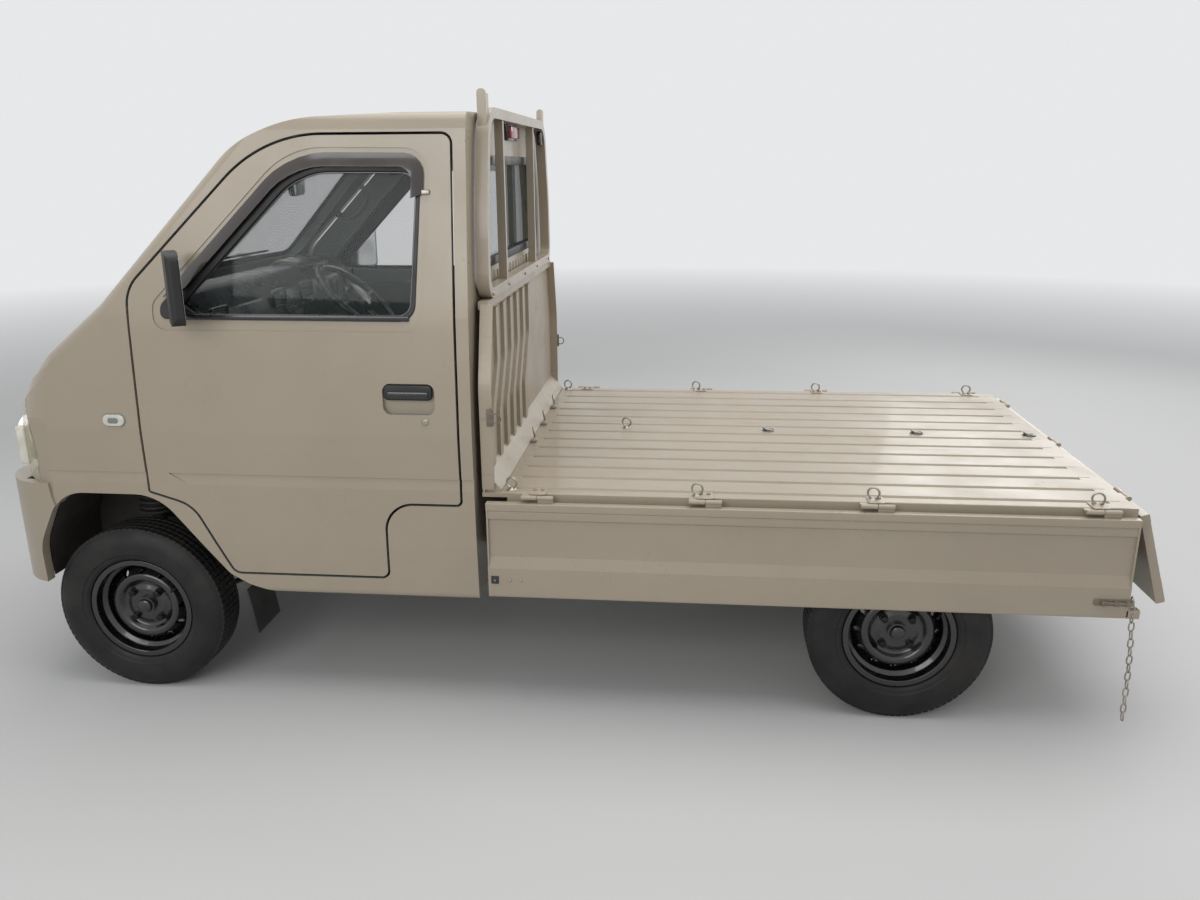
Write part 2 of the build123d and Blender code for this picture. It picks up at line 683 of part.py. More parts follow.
def rim_form(drum):
    """Steel rim with a dished disc, vent holes and nuts, outer face towards -Y."""
    half = RIM_WIDTH / 2
    barrel = [
        (RIM_FLANGE_R, -half, 2),
        (RIM_FLANGE_R, -half + 7, 2),
        (RIM_FLANGE_R - 13, -half + 12, 3),
        (RIM_FLANGE_R - 13, -half + 34, 6),
        (RIM_FLANGE_R - 26, -half + 44, 6),
        (RIM_FLANGE_R - 26, half - 34, 6),
        (RIM_FLANGE_R - 13, half - 26, 6),
        (RIM_FLANGE_R - 13, half - 12, 3),
        (RIM_FLANGE_R, half - 7, 2),
        (RIM_FLANGE_R, half, 2),
        (RIM_FLANGE_R - 17, half, 2),
        (RIM_FLANGE_R - 17, half - 24, 3),
        (RIM_FLANGE_R - 31, half - 34, 6),
        (RIM_FLANGE_R - 31, -half + 42, 6),
        (RIM_FLANGE_R - 17, -half + 31, 6),
        (RIM_FLANGE_R - 17, -half, 2),
    ]
    rim = revolve(face(barrel), Axis.Y)
    disc = [
        (HUB_BORE_R + 12, -22, 0),
        (52, -22, 4),
        (72, -14, 12),
        (88, -32, 14),
        (104, -34, 14),
        (136, 6, 10),
        (136, 11, 0),
        (128, 11, 8),
        (100, -28, 12),
        (90, -27, 10),
        (72, -8, 10),
        (52, -16, 4),
        (HUB_BORE_R + 12, -16, 0),
    ]
    rim += revolve(face(disc), Axis.Y)
    for index in range(VENT_COUNT):
        hole = Rot(0, index * 360 / VENT_COUNT, 0) * rod((0, -80, 116), (0, 40, 116), 9)
        rim -= hole
    hub = rod((0, -34, 0), (0, 8, 0), 29)
    hub -= rod((0, -26, 0), (0, 60, 0), HUB_BORE_R)
    rim += hub
    for index in range(NUT_COUNT):
        angle = math.radians(45 + index * 360 / NUT_COUNT)
        x = NUT_CIRCLE_R * math.cos(angle)
        z = NUT_CIRCLE_R * math.sin(angle)
        rim += rod((x, -34, z), (x, -12, z), 10)
    if drum:
        brake = rod((0, -16, 0), (0, 42, 0), 112)
        brake -= rod((0, -6, 0), (0, 50, 0), 104)
        brake -= rod((0, -40, 0), (0, 60, 0), HUB_BORE_R)
        rim += brake
    return rim


def build_wheels():
    """Four wheels, each a tyre and a rim."""
    tyre = tyre_form()
    corners = [
        ("front_left", FRONT_AXLE, -FRONT_TRACK / 2, False),
        ("front_right", FRONT_AXLE, FRONT_TRACK / 2, False),
        ("rear_left", REAR_AXLE, -REAR_TRACK / 2, True),
        ("rear_right", REAR_AXLE, REAR_TRACK / 2, True),
    ]
    for name, station, y, drum in corners:
        rim = other_side(rim_form(drum))
        turned = Rot(0, 0, 0 if y > 0 else 180) * rim
        place = Pos(station, y, TYRE_R)
        write(f"tyre_{name}", place * tyre)
        write(f"rim_{name}", place * turned)


# Bed

RIB_PITCH = 109.0
RIB_COUNT = 13
BED_MEMBERS = (1700, 2060, 2420, 2940, 3220)


def build_bed():
    """Ribbed floor on side rails and cross members."""
    sheet_low = FLOOR_Z - FLOOR_RIB
    half = BED_HALF
    rows = [(-half, FLOOR_Z - RAIL_HEIGHT, 0), (-half, FLOOR_Z, 3)]
    groove_half = 11.0
    top = []
    for index in range(RIB_COUNT):
        y = (index - (RIB_COUNT - 1) / 2) * RIB_PITCH
        top += [
            (y - groove_half, FLOOR_Z, 2),
            (y - groove_half + 5, FLOOR_Z - 7, 1),
            (y + groove_half - 5, FLOOR_Z - 7, 1),
            (y + groove_half, FLOOR_Z, 2),
        ]
    rows += top
    rows += [(half, FLOOR_Z, 3), (half, FLOOR_Z - RAIL_HEIGHT, 0)]
    rows += [(half - 45, FLOOR_Z - RAIL_HEIGHT, 0), (half - 45, sheet_low, 0)]
    rows += [(-half + 45, sheet_low, 0), (-half + 45, FLOOR_Z - RAIL_HEIGHT, 0)]
    floor = front_prism(rows, BED_FRONT + 60, BED_END - 26)
    border_z = FLOOR_Z - 1
    border = block(BED_FRONT - 14, BED_FRONT + 80, -half, half, sheet_low, border_z)
    border += block(BED_END - 60, BED_END, -half, half, FLOOR_Z - RAIL_HEIGHT, border_z)
    write("bed_floor", floor + border)
    members = []
    for station in BED_MEMBERS:
        low = frame_height(station + 25) + FRAME_DEPTH / 2
        members.append(block(station - 25, station + 25, 46 - half, half - 46, low, sheet_low))
    write("bed_cross_members", Compound([solid for item in members for solid in item.solids()]))


HEAD_TOP = 1226.0
HEAD_LOW_HALF = 703.0
HEAD_TOP_HALF = 632.0
HEAD_BEND_Z = 1010.0
HEAD_CAP = 16.0
BEAD_JOG = 112.0
BEAD_PITCH = 118.0


def build_headboard():
    """Headboard sheet with jogged vertical beads, a sloping foot and bent end posts."""
    outline = [
        (-HEAD_LOW_HALF, FLOOR_Z - 1, 0),
        (-HEAD_LOW_HALF, HEAD_BEND_Z, 200),
        (-HEAD_TOP_HALF, HEAD_TOP + HEAD_CAP, 0),
        (HEAD_TOP_HALF, HEAD_TOP + HEAD_CAP, 0),
        (HEAD_LOW_HALF, HEAD_BEND_Z, 200),
        (HEAD_LOW_HALF, FLOOR_Z - 1, 0),
    ]
    board = front_prism(outline, BED_FRONT - 12, BED_FRONT - 6)
    post_zone = front_prism(outline, BED_FRONT - 14, BED_FRONT + 22)
    post_zone -= front_prism(outline, BED_FRONT - 15, BED_FRONT + 23, -8)
    board += post_zone & block(1500, 1600, -800, 800, FLOOR_Z + 8, HEAD_TOP + HEAD_CAP - 8)
    cap_half = HEAD_TOP_HALF + 2
    board += block(BED_FRONT - 20, BED_FRONT + 8, -cap_half, cap_half, HEAD_TOP - 8, HEAD_TOP + HEAD_CAP)
    for index in range(6):
        y = -590 + index * BEAD_PITCH
        rows = [
            (y - 20, FLOOR_Z + 30, 0),
            (y - 20, 880, 60),
            (y - 20 + BEAD_JOG, 1040, 60),
            (y - 20 + BEAD_JOG, HEAD_TOP - 20, 0),
            (y + 20 + BEAD_JOG, HEAD_TOP - 20, 0),
            (y + 20 + BEAD_JOG, 1040, 60),
            (y + 20, 880, 60),
            (y + 20, FLOOR_Z + 30, 0),
        ]
        board += front_prism(rows, BED_FRONT - 8, BED_FRONT + 4)
    foot_half = HEAD_LOW_HALF - 9
    board += side_prism(
        [
            (BED_FRONT - 10, FLOOR_Z - 1, 0),
            (BED_FRONT + 42, FLOOR_Z - 1, 0),
            (BED_FRONT + 42, FLOOR_Z + 6, 0),
            (BED_FRONT + 6, FLOOR_Z + 46, 20),
            (BED_FRONT - 10, FLOOR_Z + 60, 0),
        ],
        -foot_half,
        foot_half,
    )
    write("headboard", board)


GUARD_BACK = BED_FRONT + 11
GUARD_DEPTH = 36.0
GUARD_TOP = 1776.0
GUARD_LOW = HEAD_TOP + HEAD_CAP
GUARD_HALF = 606.0
GUARD_TOP_HALF = 532.0
HORN_TOP = 1821.0


def build_guard():
    """Rounded tube frame with two flat bars and two horns, behind the cab's rear window."""
    outer = [
        (-GUARD_HALF - 16, GUARD_LOW, 70),
        (-GUARD_HALF, 1480, 700),
        (-GUARD_TOP_HALF, GUARD_TOP, 110),
        (GUARD_TOP_HALF, GUARD_TOP, 110),
        (GUARD_HALF, 1480, 700),
        (GUARD_HALF + 16, GUARD_LOW, 70),
    ]
    x_low = GUARD_BACK - GUARD_DEPTH
    frame = front_prism(outer, x_low, GUARD_BACK) - front_prism(outer, x_low - 1, GUARD_BACK + 1, -30)
    flange = front_prism(outer, x_low - 1, GUARD_BACK - 6, -6)
    hollow = front_prism(outer, x_low - 1, GUARD_BACK - 6, -24)
    frame -= flange - hollow
    for y in (-306, 268):
        frame += block(GUARD_BACK - 30, GUARD_BACK - 4, y - 9, y + 9, GUARD_LOW + 10, GUARD_TOP - 10)
    horn = side_prism(
        [
            (GUARD_BACK - 32, GUARD_TOP - 130, 0),
            (GUARD_BACK - 32, HORN_TOP, 12),
            (GUARD_BACK - 6, HORN_TOP, 12),
            (GUARD_BACK - 6, GUARD_TOP - 130, 0),
        ],
        535,
        541,
    )
    lip = block(GUARD_BACK - 12, GUARD_BACK - 6, 505, 541, GUARD_TOP - 60, HORN_TOP - 12)
    frame += both_sides(horn + lip)
    write("guard_frame", frame)


TIE_RINGS = [
    # station, y
    (1618, -675),
    (2165, -690),
    (2665, -690),
    (3280, -690),
    (1618, 675),
    (2165, 690),
    (2665, 690),
    (3280, 690),
    (1911, 54.5),
]


def build_rings():
    """Upright tie rings on small feet."""
    rings = []
    for station, y in TIE_RINGS:
        eye = ring((station, y, FLOOR_Z + 22), 16, 3, (0.3, 1, 0))
        foot = rod((station, y, FLOOR_Z), (station, y, FLOOR_Z + 8), 5)
        rings.append(eye + foot)
    write("tie_rings", Compound([solid for item in rings for solid in item.solids()]))


def build_tail():
    """Rear bar with its lamps, and the front mud flaps."""
    bar = block(3377, 3415, -640, 640, 470, 510)
    brackets = both_sides(block(3320, 3379, 350, 380, 470, 495))
    stops = both_sides(rod((3411, 300, 492), (3438, 300, 492), 14))
    write("rear_bar", bar + brackets + stops)
    lamp = block(3360, 3397, 430, 630, 510, 586)
    lamp = fillet(lamp.edges().filter_by(Axis.X), 12)
    write("tail_lamps", pair(lamp))
    flap = side_prism([(764, 412, 0), (768, 412, 0), (800, 200, 0), (796, 200, 0)], 540, 700)
    flap -= block(740, 830, 635, 710, 348, 420)
    write("front_mud_flaps", pair(flap))


# Gates

SIDE_HINGES = (1702, 2188, 2672, 3283)
TAIL_HINGES = (-560, 0, 560)


def gate_form(length, height):
    """Gate panel hanging down from the origin: x along it, outer face towards -Y when shut.

    The section is drawn in the hung position: a top flange, an inset face with a
    mid crease, and a lower flange.
    """
    top = -GATE_DROP
    low = top - height
    t = GATE_THICK / 2
    rows = [
        (t, top, 2),
        (-t, top, 2),
        (-t, top - 24, 2),
        (-t + 9, top - 34, 3),
        (-t + 9, top - 168, 3),
        (-t + 3, top - 180, 3),
        (-t + 9, top - 192, 3),
        (-t + 9, low + 34, 3),
        (-t, low + 26, 2),
        (-t, low, 2),
        (t, low, 2),
    ]
    return front_prism(rows, 0, length)


def hinge_parts(starts, carrier_length):
    """Gate barrels and bed barrels of one hinge line along X, about the origin's axis."""
    gate_side = []
    bed_side = []
    for x in starts:
        fixed = rod((x, 0, 0), (x + 46, 0, 0), HINGE_R)
        pin = rod((x + 34, 0, 0), (x + 92, 0, 0), HINGE_PIN_R)
        plate = block(x, x + 46, 0, carrier_length, -3, 3)
        bed_side.append(fixed + pin + plate)
        barrel = rod((x + 48, 0, 0), (x + 94, 0, 0), HINGE_R)
        barrel -= rod((x + 47, 0, 0), (x + 95, 0, 0), HINGE_BORE_R)
        leaf = block(x + 48, x + 94, -3, 3, -GATE_DROP - 1, -HINGE_R + 1)
        gate_side.append(barrel + leaf)
    return gate_side, bed_side


def build_side_gates():
    """Side gates hanging from the bed's rails, with the end of the top rail run out."""
    length = GATE_REAR - GATE_FRONT
    half = GATE_THICK / 2
    low = -GATE_DROP - GATE_HEIGHT
    place = Pos(GATE_FRONT, -GATE_HINGE_Y, GATE_HINGE_Z)
    starts = [x - GATE_FRONT - 47 for x in SIDE_HINGES]
    gate_side, bed_side = hinge_parts(starts, GATE_HINGE_Y - BED_HALF)
    panel = gate_form(length, GATE_HEIGHT)
    panel += block(0, 6, -half, half, low, -GATE_DROP)
    panel += block(length - 6, length, -half, half, low, -GATE_DROP)
    panel += block(length - 6, length + GATE_RAIL_REACH, -half, half, low, low + 26)
    panel = Pos(0, -5, 0) * panel
    for item in gate_side:
        panel += item
    gate = place * panel
    write("side_gate_left", gate)
    write("side_gate_right", other_side(gate))
    fixed = [place * item for item in bed_side]
    fixed += [other_side(item) for item in fixed]
    return fixed


def build_tailgate():
    """Tailgate hanging against the rear bar's stops."""
    half = GATE_THICK / 2
    panel = Pos(-TAIL_HALF, 0, 0) * gate_form(2 * TAIL_HALF, TAILGATE_HEIGHT)
    low = -GATE_DROP - TAILGATE_HEIGHT
    for y in (-TAIL_HALF, TAIL_HALF - 6):
        panel += block(y, y + 6, -half, half, low, -GATE_DROP)
    gate_side, bed_side = hinge_parts([y - 47 for y in TAIL_HINGES], TAIL_HINGE_X - BED_END)
    for item in gate_side:
        panel += item
    hinge_place = Pos(TAIL_HINGE_X, 0, GATE_HINGE_Z)
    write("tailgate", hinge_place * Rot(0, -TAIL_LEAN, 0) * Rot(0, 0, 90) * panel)
    return [hinge_place * Rot(0, 0, 90) * item for item in bed_side]


os.makedirs("parts", exist_ok=True)
build_cab()
build_bumper()
build_doors()
build_inside()
build_frame()
build_rear_axle()
build_front_axle()
build_wheels()
build_bed()
build_headboard()
build_guard()
build_rings()
build_tail()
bed_hinges = build_side_gates() + build_tailgate()
write("bed_hinges", Compound([solid for item in bed_hinges for solid in item.solids()]))
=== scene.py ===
"""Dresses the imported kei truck: paint, glass, rubber, soft trim and small fittings.

Shapes are modelled in millimetres, x being the station behind the bumper's front
face, y the truck's right and z the height. They become metres when a piece is placed.
"""

import logging
import math
from dataclasses import dataclass, field
from enum import Enum
from typing import Callable, Sequence

import bmesh
import bpy
from mathutils import Matrix, Vector
from mathutils.bvhtree import BVHTree


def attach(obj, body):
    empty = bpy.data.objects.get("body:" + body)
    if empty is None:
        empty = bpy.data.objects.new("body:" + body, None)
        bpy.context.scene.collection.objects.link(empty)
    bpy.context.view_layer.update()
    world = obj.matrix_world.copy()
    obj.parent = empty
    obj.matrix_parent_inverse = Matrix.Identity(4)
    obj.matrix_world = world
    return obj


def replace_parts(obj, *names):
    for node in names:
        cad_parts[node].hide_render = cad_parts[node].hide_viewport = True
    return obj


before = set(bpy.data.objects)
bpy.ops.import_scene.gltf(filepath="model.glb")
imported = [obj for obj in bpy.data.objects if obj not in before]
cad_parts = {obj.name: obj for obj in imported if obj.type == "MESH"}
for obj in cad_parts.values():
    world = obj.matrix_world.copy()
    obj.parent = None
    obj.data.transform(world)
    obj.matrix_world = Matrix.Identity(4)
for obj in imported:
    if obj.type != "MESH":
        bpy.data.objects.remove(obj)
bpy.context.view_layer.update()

LOG = logging.getLogger("kei_truck")

MM = 0.001
ORIGIN_STATION = 1748.8
GAP_DEPTH = 0.025
GAP_STEPS = (0.006, 0.012, 0.018, 0.026)
RAY_START = 4.0
STEEPEST = 8

Colour = tuple[float, float, float]
Stop = tuple[float, Colour]
Point = tuple[float, float, float]
Rows = Sequence[tuple[float, float, float]]


class Body(Enum):
    """The moving bodies a piece can ride on."""

    TRUCK = "truck"
    DOOR_LEFT = "door_left_body"
    DOOR_RIGHT = "door_right_body"
    GATE_LEFT = "side_gate_left_body"
    GATE_RIGHT = "side_gate_right_body"
    TAILGATE = "tailgate_body"
    STEERING = "steering_wheel_body"
    WHEEL_FRONT_LEFT = "wheel_front_left"
    WHEEL_FRONT_RIGHT = "wheel_front_right"
    WHEEL_REAR_LEFT = "wheel_rear_left"
    WHEEL_REAR_RIGHT = "wheel_rear_right"


class Side(Enum):
    """The truck's two sides, as the sign of y."""

    LEFT = -1
    RIGHT = 1

    @property
    def word(self) -> str:
        """The side's name in piece names."""
        return self.name.lower()

    @property
    def door(self) -> Body:
        """The door body on this side."""
        return Body[f"DOOR_{self.name}"]

    @property
    def gate(self) -> Body:
        """The side gate body on this side."""
        return Body[f"GATE_{self.name}"]


class Drawing(Enum):
    """Planes an outline is drawn in: the axes of its u, its v and its depth."""

    SIDE = (0, 2, 1)
    FRONT = (1, 2, 0)
    PLAN = (0, 1, 2)

    def point(self, u: float, v: float, depth: float) -> Vector:
        """The point at u, v and depth of this drawing."""
        place = Vector((0.0, 0.0, 0.0))
        for axis, value in zip(self.value, (u, v, depth)):
            place[axis] = value
        return place


def screen(red: int, green: int, blue: int) -> Colour:
    """A colour as a screen shows it, turned into linear light.

    Args:
        red: Red from 0 to 255.
        green: Green from 0 to 255.
        blue: Blue from 0 to 255.

    Returns:
        Linear red, green and blue.
    """
    return tuple(
        ((c / 255 + 0.055) / 1.055) ** 2.4 if c > 10 else c / 255 / 12.92 for c in (red, green, blue)
    )


def shade(colour: Colour, amount: float) -> Colour:
    """A lighter or darker version of a colour.

    Args:
        colour: Linear colour.
        amount: Factor on each channel.

    Returns:
        The scaled colour, at most 1.
    """
    return tuple(min(1.0, c * amount) for c in colour)


class Graph:
    """One material's node tree, with short calls for the patterns used here."""

    def __init__(self, name: str) -> None:
        """Starts a material with its Principled shader and Object coordinates."""
        self.material = bpy.data.materials.new(name)
        self.material.use_nodes = True
        self.tree = self.material.node_tree
        self.shader = self.tree.nodes["Principled BSDF"]
        source = self.tree.nodes.new("ShaderNodeTexCoord")
        self.coords = source.outputs["Object"]
        self.normal = source.outputs["Normal"]

    def constants(self, **values: float | Colour) -> None:
        """Sets shader sockets directly, such as Roughness=0.4 or Coat_Weight=0.5."""
        for name, value in values.items():
            socket = self.shader.inputs[name.replace("_", " ")]
            socket.default_value = (*value, 1.0) if isinstance(value, tuple) else value

    def link(self, source: bpy.types.NodeSocket, name: str) -> None:
        """Links a pattern to a socket of the shader."""
        self.tree.links.new(source, self.shader.inputs[name])

    def stretched(self, stretch: Colour) -> bpy.types.NodeSocket:
        """Object coordinates scaled along each axis."""
        node = self.tree.nodes.new("ShaderNodeMapping")
        node.inputs["Scale"].default_value = stretch
        self.tree.links.new(self.coords, node.inputs["Vector"])
        return node.outputs["Vector"]

    def noise(
        self, scale: float, detail: float = 4.0, rough: float = 0.55, stretch: Colour = (1, 1, 1)
    ) -> bpy.types.NodeSocket:
        """Soft noise.

        Args:
            scale: Cells per metre.
            detail: Octaves.
            rough: How much the fine octaves count.
            stretch: Scale along each axis.

        Returns:
            The noise value socket.
        """
        node = self.tree.nodes.new("ShaderNodeTexNoise")
        node.inputs["Scale"].default_value = scale
        node.inputs["Detail"].default_value = detail
        node.inputs["Roughness"].default_value = rough
        self.tree.links.new(self.stretched(stretch), node.inputs["Vector"])
        return node.outputs["Fac"]

    def cells(self, scale: float, stretch: Colour = (1, 1, 1)) -> bpy.types.NodeSocket:
        """Distance to the nearest cell centre, for grain and flecks."""
        node = self.tree.nodes.new("ShaderNodeTexVoronoi")
        node.inputs["Scale"].default_value = scale
        self.tree.links.new(self.stretched(stretch), node.inputs["Vector"])
        return node.outputs["Distance"]

    def height(self, low: float, high: float) -> bpy.types.NodeSocket:
        """0 below one height, 1 above another, in metres."""
        split = self.tree.nodes.new("ShaderNodeSeparateXYZ")
        self.tree.links.new(self.coords, split.inputs[0])
        return self.spread(split.outputs["Z"], low, high)

    def facing_in(self, centre: Colour) -> bpy.types.NodeSocket:
        """1 on faces that look towards a point given in metres, 0 on the others."""
        offset = self.tree.nodes.new("ShaderNodeVectorMath")
        offset.operation = "SUBTRACT"
        self.tree.links.new(self.coords, offset.inputs[0])
        offset.inputs[1].default_value = centre
        dot = self.tree.nodes.new("ShaderNodeVectorMath")
        dot.operation = "DOT_PRODUCT"
        self.tree.links.new(self.normal, dot.inputs[0])
        self.tree.links.new(offset.outputs[0], dot.inputs[1])
        return self.times(dot.outputs["Value"], 0.0, "LESS_THAN")

    def between(self, source: bpy.types.NodeSocket, low: float, high: float) -> bpy.types.NodeSocket:
        """Maps 0 to 1 onto low to high."""
        node = self.tree.nodes.new("ShaderNodeMapRange")
        node.inputs["To Min"].default_value = low
        node.inputs["To Max"].default_value = high
        self.tree.links.new(source, node.inputs["Value"])
        return node.outputs["Result"]

    def spread(
        self, source: bpy.types.NodeSocket, low: float, high: float, top: float = 1.0
    ) -> bpy.types.NodeSocket:
        """Maps a value between two limits onto 0 to top, clamped."""
        node = self.tree.nodes.new("ShaderNodeMapRange")
        node.inputs["From Min"].default_value = low
        node.inputs["From Max"].default_value = high
        node.inputs["To Max"].default_value = top
        self.tree.links.new(source, node.inputs["Value"])
        return node.outputs["Result"]

    def times(
        self, first: bpy.types.NodeSocket, second: bpy.types.NodeSocket | float, kind: str = "MULTIPLY"
    ) -> bpy.types.NodeSocket:
        """Joins two values by one operation of arithmetic."""
        node = self.tree.nodes.new("ShaderNodeMath")
        node.operation = kind
        self.tree.links.new(first, node.inputs[0])
        if isinstance(second, float):
            node.inputs[1].default_value = second
        else:
            self.tree.links.new(second, node.inputs[1])
        return node.outputs[0]

    def ramp(self, source: bpy.types.NodeSocket, stops: Sequence[Stop]) -> bpy.types.NodeSocket:
        """Colours a value along a ramp of (place, colour) stops."""
        node = self.tree.nodes.new("ShaderNodeValToRGB")
        elements = node.color_ramp.elements
        while len(elements) < len(stops):
            elements.new(0.5)
        for element, (place, colour) in zip(elements, stops):
            element.position = place
            element.color = (*colour, 1.0)
        self.tree.links.new(source, node.inputs["Fac"])
        return node.outputs["Color"]

    def blend(
        self, factor: bpy.types.NodeSocket, low: bpy.types.NodeSocket | Colour,
        high: bpy.types.NodeSocket | Colour,
    ) -> bpy.types.NodeSocket:
        """Mixes two colours by a factor."""
        node = self.tree.nodes.new("ShaderNodeMix")
        node.data_type = "RGBA"
        self.tree.links.new(factor, node.inputs["Factor"])
        for value, socket in ((low, node.inputs[6]), (high, node.inputs[7])):
            if isinstance(value, tuple):
                socket.default_value = (*value, 1.0)
            else:
                self.tree.links.new(value, socket)
        return node.outputs[2]

    def vary_roughness(self, scale: float, low: float, high: float) -> None:
        """Lets the roughness wander between two values over a noise of cells per metre."""
        self.link(
            self.between(self.spread(self.noise(scale, 5), 0.3, 0.7), max(0.02, low), high), "Roughness"
        )

    def bump(self, source: bpy.types.NodeSocket, depth: float, strength: float = 1.0) -> None:
        """Adds a bump pattern of that depth in metres on top of the ones before it."""
        node = self.tree.nodes.new("ShaderNodeBump")
        node.inputs["Distance"].default_value = depth
        node.inputs["Strength"].default_value = strength
        self.tree.links.new(source, node.inputs["Height"])
        normal = self.shader.inputs["Normal"]
        if normal.is_linked:
            self.tree.links.new(normal.links[0].from_socket, node.inputs["Normal"])
        self.tree.links.new(node.outputs["Normal"], normal)


# Finishes


@dataclass(frozen=True)
class PaintFinish:
    """Solid-colour coachwork paint with dust, faint waviness and wear.

    Where inner is given, faces that look towards the middle of the cab get that colour.
    """

    name: str
    colour: Colour
    roughness: float = 0.30
    coat: float = 0.35
    dust: float = 0.3
    wear: float = 0.0
    rust: float = 0.0
    inner: Colour | None = None

    def make(self) -> bpy.types.Material:
        """Builds the paint's material."""
        g = Graph(self.name)
        g.constants(Coat_Weight=self.coat, Coat_Roughness=0.1, Specular_IOR_Level=0.5)
        tone = g.ramp(g.noise(1.7, 3), [(0.3, shade(self.colour, 0.95)), (0.7, shade(self.colour, 1.05))])
        dirt_colour = tuple(0.75 * c + 0.25 * d for c, d in zip(self.colour, (0.30, 0.26, 0.20)))
        low = g.times(g.height(0.95, 0.32), g.spread(g.noise(6.5, 6), 0.35, 0.75))
        colour = g.blend(g.times(low, self.dust), tone, shade(dirt_colour, 0.78))
        speck = g.spread(g.noise(42, 5, 0.7), 0.58, 0.74)
        colour = g.blend(g.times(speck, 0.18 + self.wear * 0.3), colour, shade(self.colour, 0.74))
        if self.wear:
            scratch = g.spread(g.noise(30, 5, 0.6, (0.06, 1, 1)), 0.60, 0.72)
            colour = g.blend(g.times(scratch, self.wear), colour, shade(self.colour, 0.55))
        if self.rust:
            spot = g.times(
                g.spread(g.noise(11, 7, 0.72), 0.66, 0.72), g.spread(g.noise(3.1, 3), 0.42, 0.62)
            )
            colour = g.blend(g.times(spot, self.rust), colour, (0.13, 0.05, 0.02))
        if self.inner is not None:
            colour = g.blend(g.facing_in((-0.75, 0.0, 1.15)), colour, self.inner)
        g.link(colour, "Base Color")
        g.vary_roughness(5.5, self.roughness - 0.05, self.roughness + 0.14 + self.wear * 0.2)
        g.bump(g.noise(2.4, 2), 0.0016, 0.35)
        g.bump(g.noise(420, 2), 0.00008, 0.5)
        return g.material


@dataclass(frozen=True)
class MouldedFinish:
    """Plastic or rubber with a moulded grain."""

    name: str
    colour: Colour
    roughness: float = 0.5
    grain: float = 700.0
    depth: float = 0.00012
    dust: float = 0.25
    specular: float = 0.5
    coat: float = 0.0

    def make(self) -> bpy.types.Material:
        """Builds the moulded material."""
        g = Graph(self.name)
        g.constants(Specular_IOR_Level=self.specular, Coat_Weight=self.coat, Coat_Roughness=0.08)
        patch = g.spread(g.noise(9, 6), 0.38, 0.75)
        dusty = tuple(c * 0.6 + 0.4 * d for c, d in zip(self.colour, (0.14, 0.12, 0.10)))
        g.link(g.blend(g.times(patch, self.dust), shade(self.colour, 0.92), dusty), "Base Color")
        g.vary_roughness(14, self.roughness - 0.08, self.roughness + 0.12)
        g.bump(g.cells(self.grain), self.depth, 0.6)
        return g.material


@dataclass(frozen=True)
class MetalFinish:
    """Bare, plated or painted metal with stains and rust."""

    name: str
    colour: Colour
    metallic: float = 1.0
    roughness: float = 0.4
    rust: float = 0.3
    rust_colour: Colour = (0.12, 0.05, 0.022)
    coat: float = 0.0

    def make(self) -> bpy.types.Material:
        """Builds the metal's material."""
        g = Graph(self.name)
        g.constants(Coat_Weight=self.coat, Coat_Roughness=0.06)
        stain = g.ramp(g.noise(18, 5), [(0.3, shade(self.colour, 0.8)), (0.7, shade(self.colour, 1.1))])
        patch = g.times(g.spread(g.noise(24, 8, 0.7), 0.5, 0.66), self.rust)
        g.link(g.blend(patch, stain, self.rust_colour), "Base Color")
        g.link(g.spread(g.times(patch, -1.0), -1.0, 0.0, self.metallic), "Metallic")
        g.vary_roughness(31, self.roughness - 0.08, self.roughness + 0.2)
        g.bump(g.noise(260, 4), 0.00012, 0.5)
        return g.material


@dataclass(frozen=True)
class GlassFinish:
    """Thin glass or clear plastic: dark and see-through, brighter where it is seen edge on."""

    name: str
    colour: Colour = (0.03, 0.045, 0.042)
    roughness: float = 0.02
    clear: float = 0.12
    grazing: float = 0.62

    def make(self) -> bpy.types.Material:
        """Builds the glass material."""
        g = Graph(self.name)
        g.constants(Roughness=self.roughness, IOR=1.5, Specular_IOR_Level=0.75)
        g.link(g.ramp(g.noise(6, 5), [(0.3, self.colour), (0.8, shade(self.colour, 1.6))]), "Base Color")
        edge = g.tree.nodes.new("ShaderNodeLayerWeight")
        edge.inputs["Blend"].default_value = 0.25
        g.link(g.between(edge.outputs["Facing"], self.clear, self.grazing), "Alpha")
        return g.material


@dataclass(frozen=True)
class ClothFinish:
    """Woven or leathercloth cover."""

    name: str
    colour: Colour
    roughness: float = 0.6
    weave: float = 900.0
    sheen: float = 0.15

    def make(self) -> bpy.types.Material:
        """Builds the cover's material."""
        g = Graph(self.name)
        g.constants(Sheen_Weight=self.sheen, Sheen_Roughness=0.5)
        g.link(
            g.ramp(g.noise(6, 5), [(0.3, shade(self.colour, 0.85)), (0.75, shade(self.colour, 1.2))]),
            "Base Color",
        )
        g.vary_roughness(20, self.roughness - 0.08, self.roughness + 0.1)
        g.bump(g.cells(self.weave), 0.0003, 0.6)
        g.bump(g.noise(28, 4), 0.0012, 0.4)
        return g.material


@dataclass(frozen=True)
class LensFinish:
    """Coloured lamp lens with moulded flutes."""

    name: str
    colour: Colour
    alpha: float = 0.9
    glow: float = 0.0

    def make(self) -> bpy.types.Material:
        """Builds the lens material."""
        g = Graph(self.name)
        g.constants(Roughness=0.12, Coat_Weight=0.6, Alpha=self.alpha)
        g.constants(Emission_Color=self.colour, Emission_Strength=self.glow)
        g.link(g.ramp(g.noise(30, 3), [(0.3, shade(self.colour, 0.85)), (0.7, self.colour)]), "Base Color")
        g.bump(g.cells(160, (1, 1, 0.15)), 0.0006, 0.5)
        return g.material


BEIGE = screen(163, 151, 133)
INNER_GREY = screen(118, 126, 122)

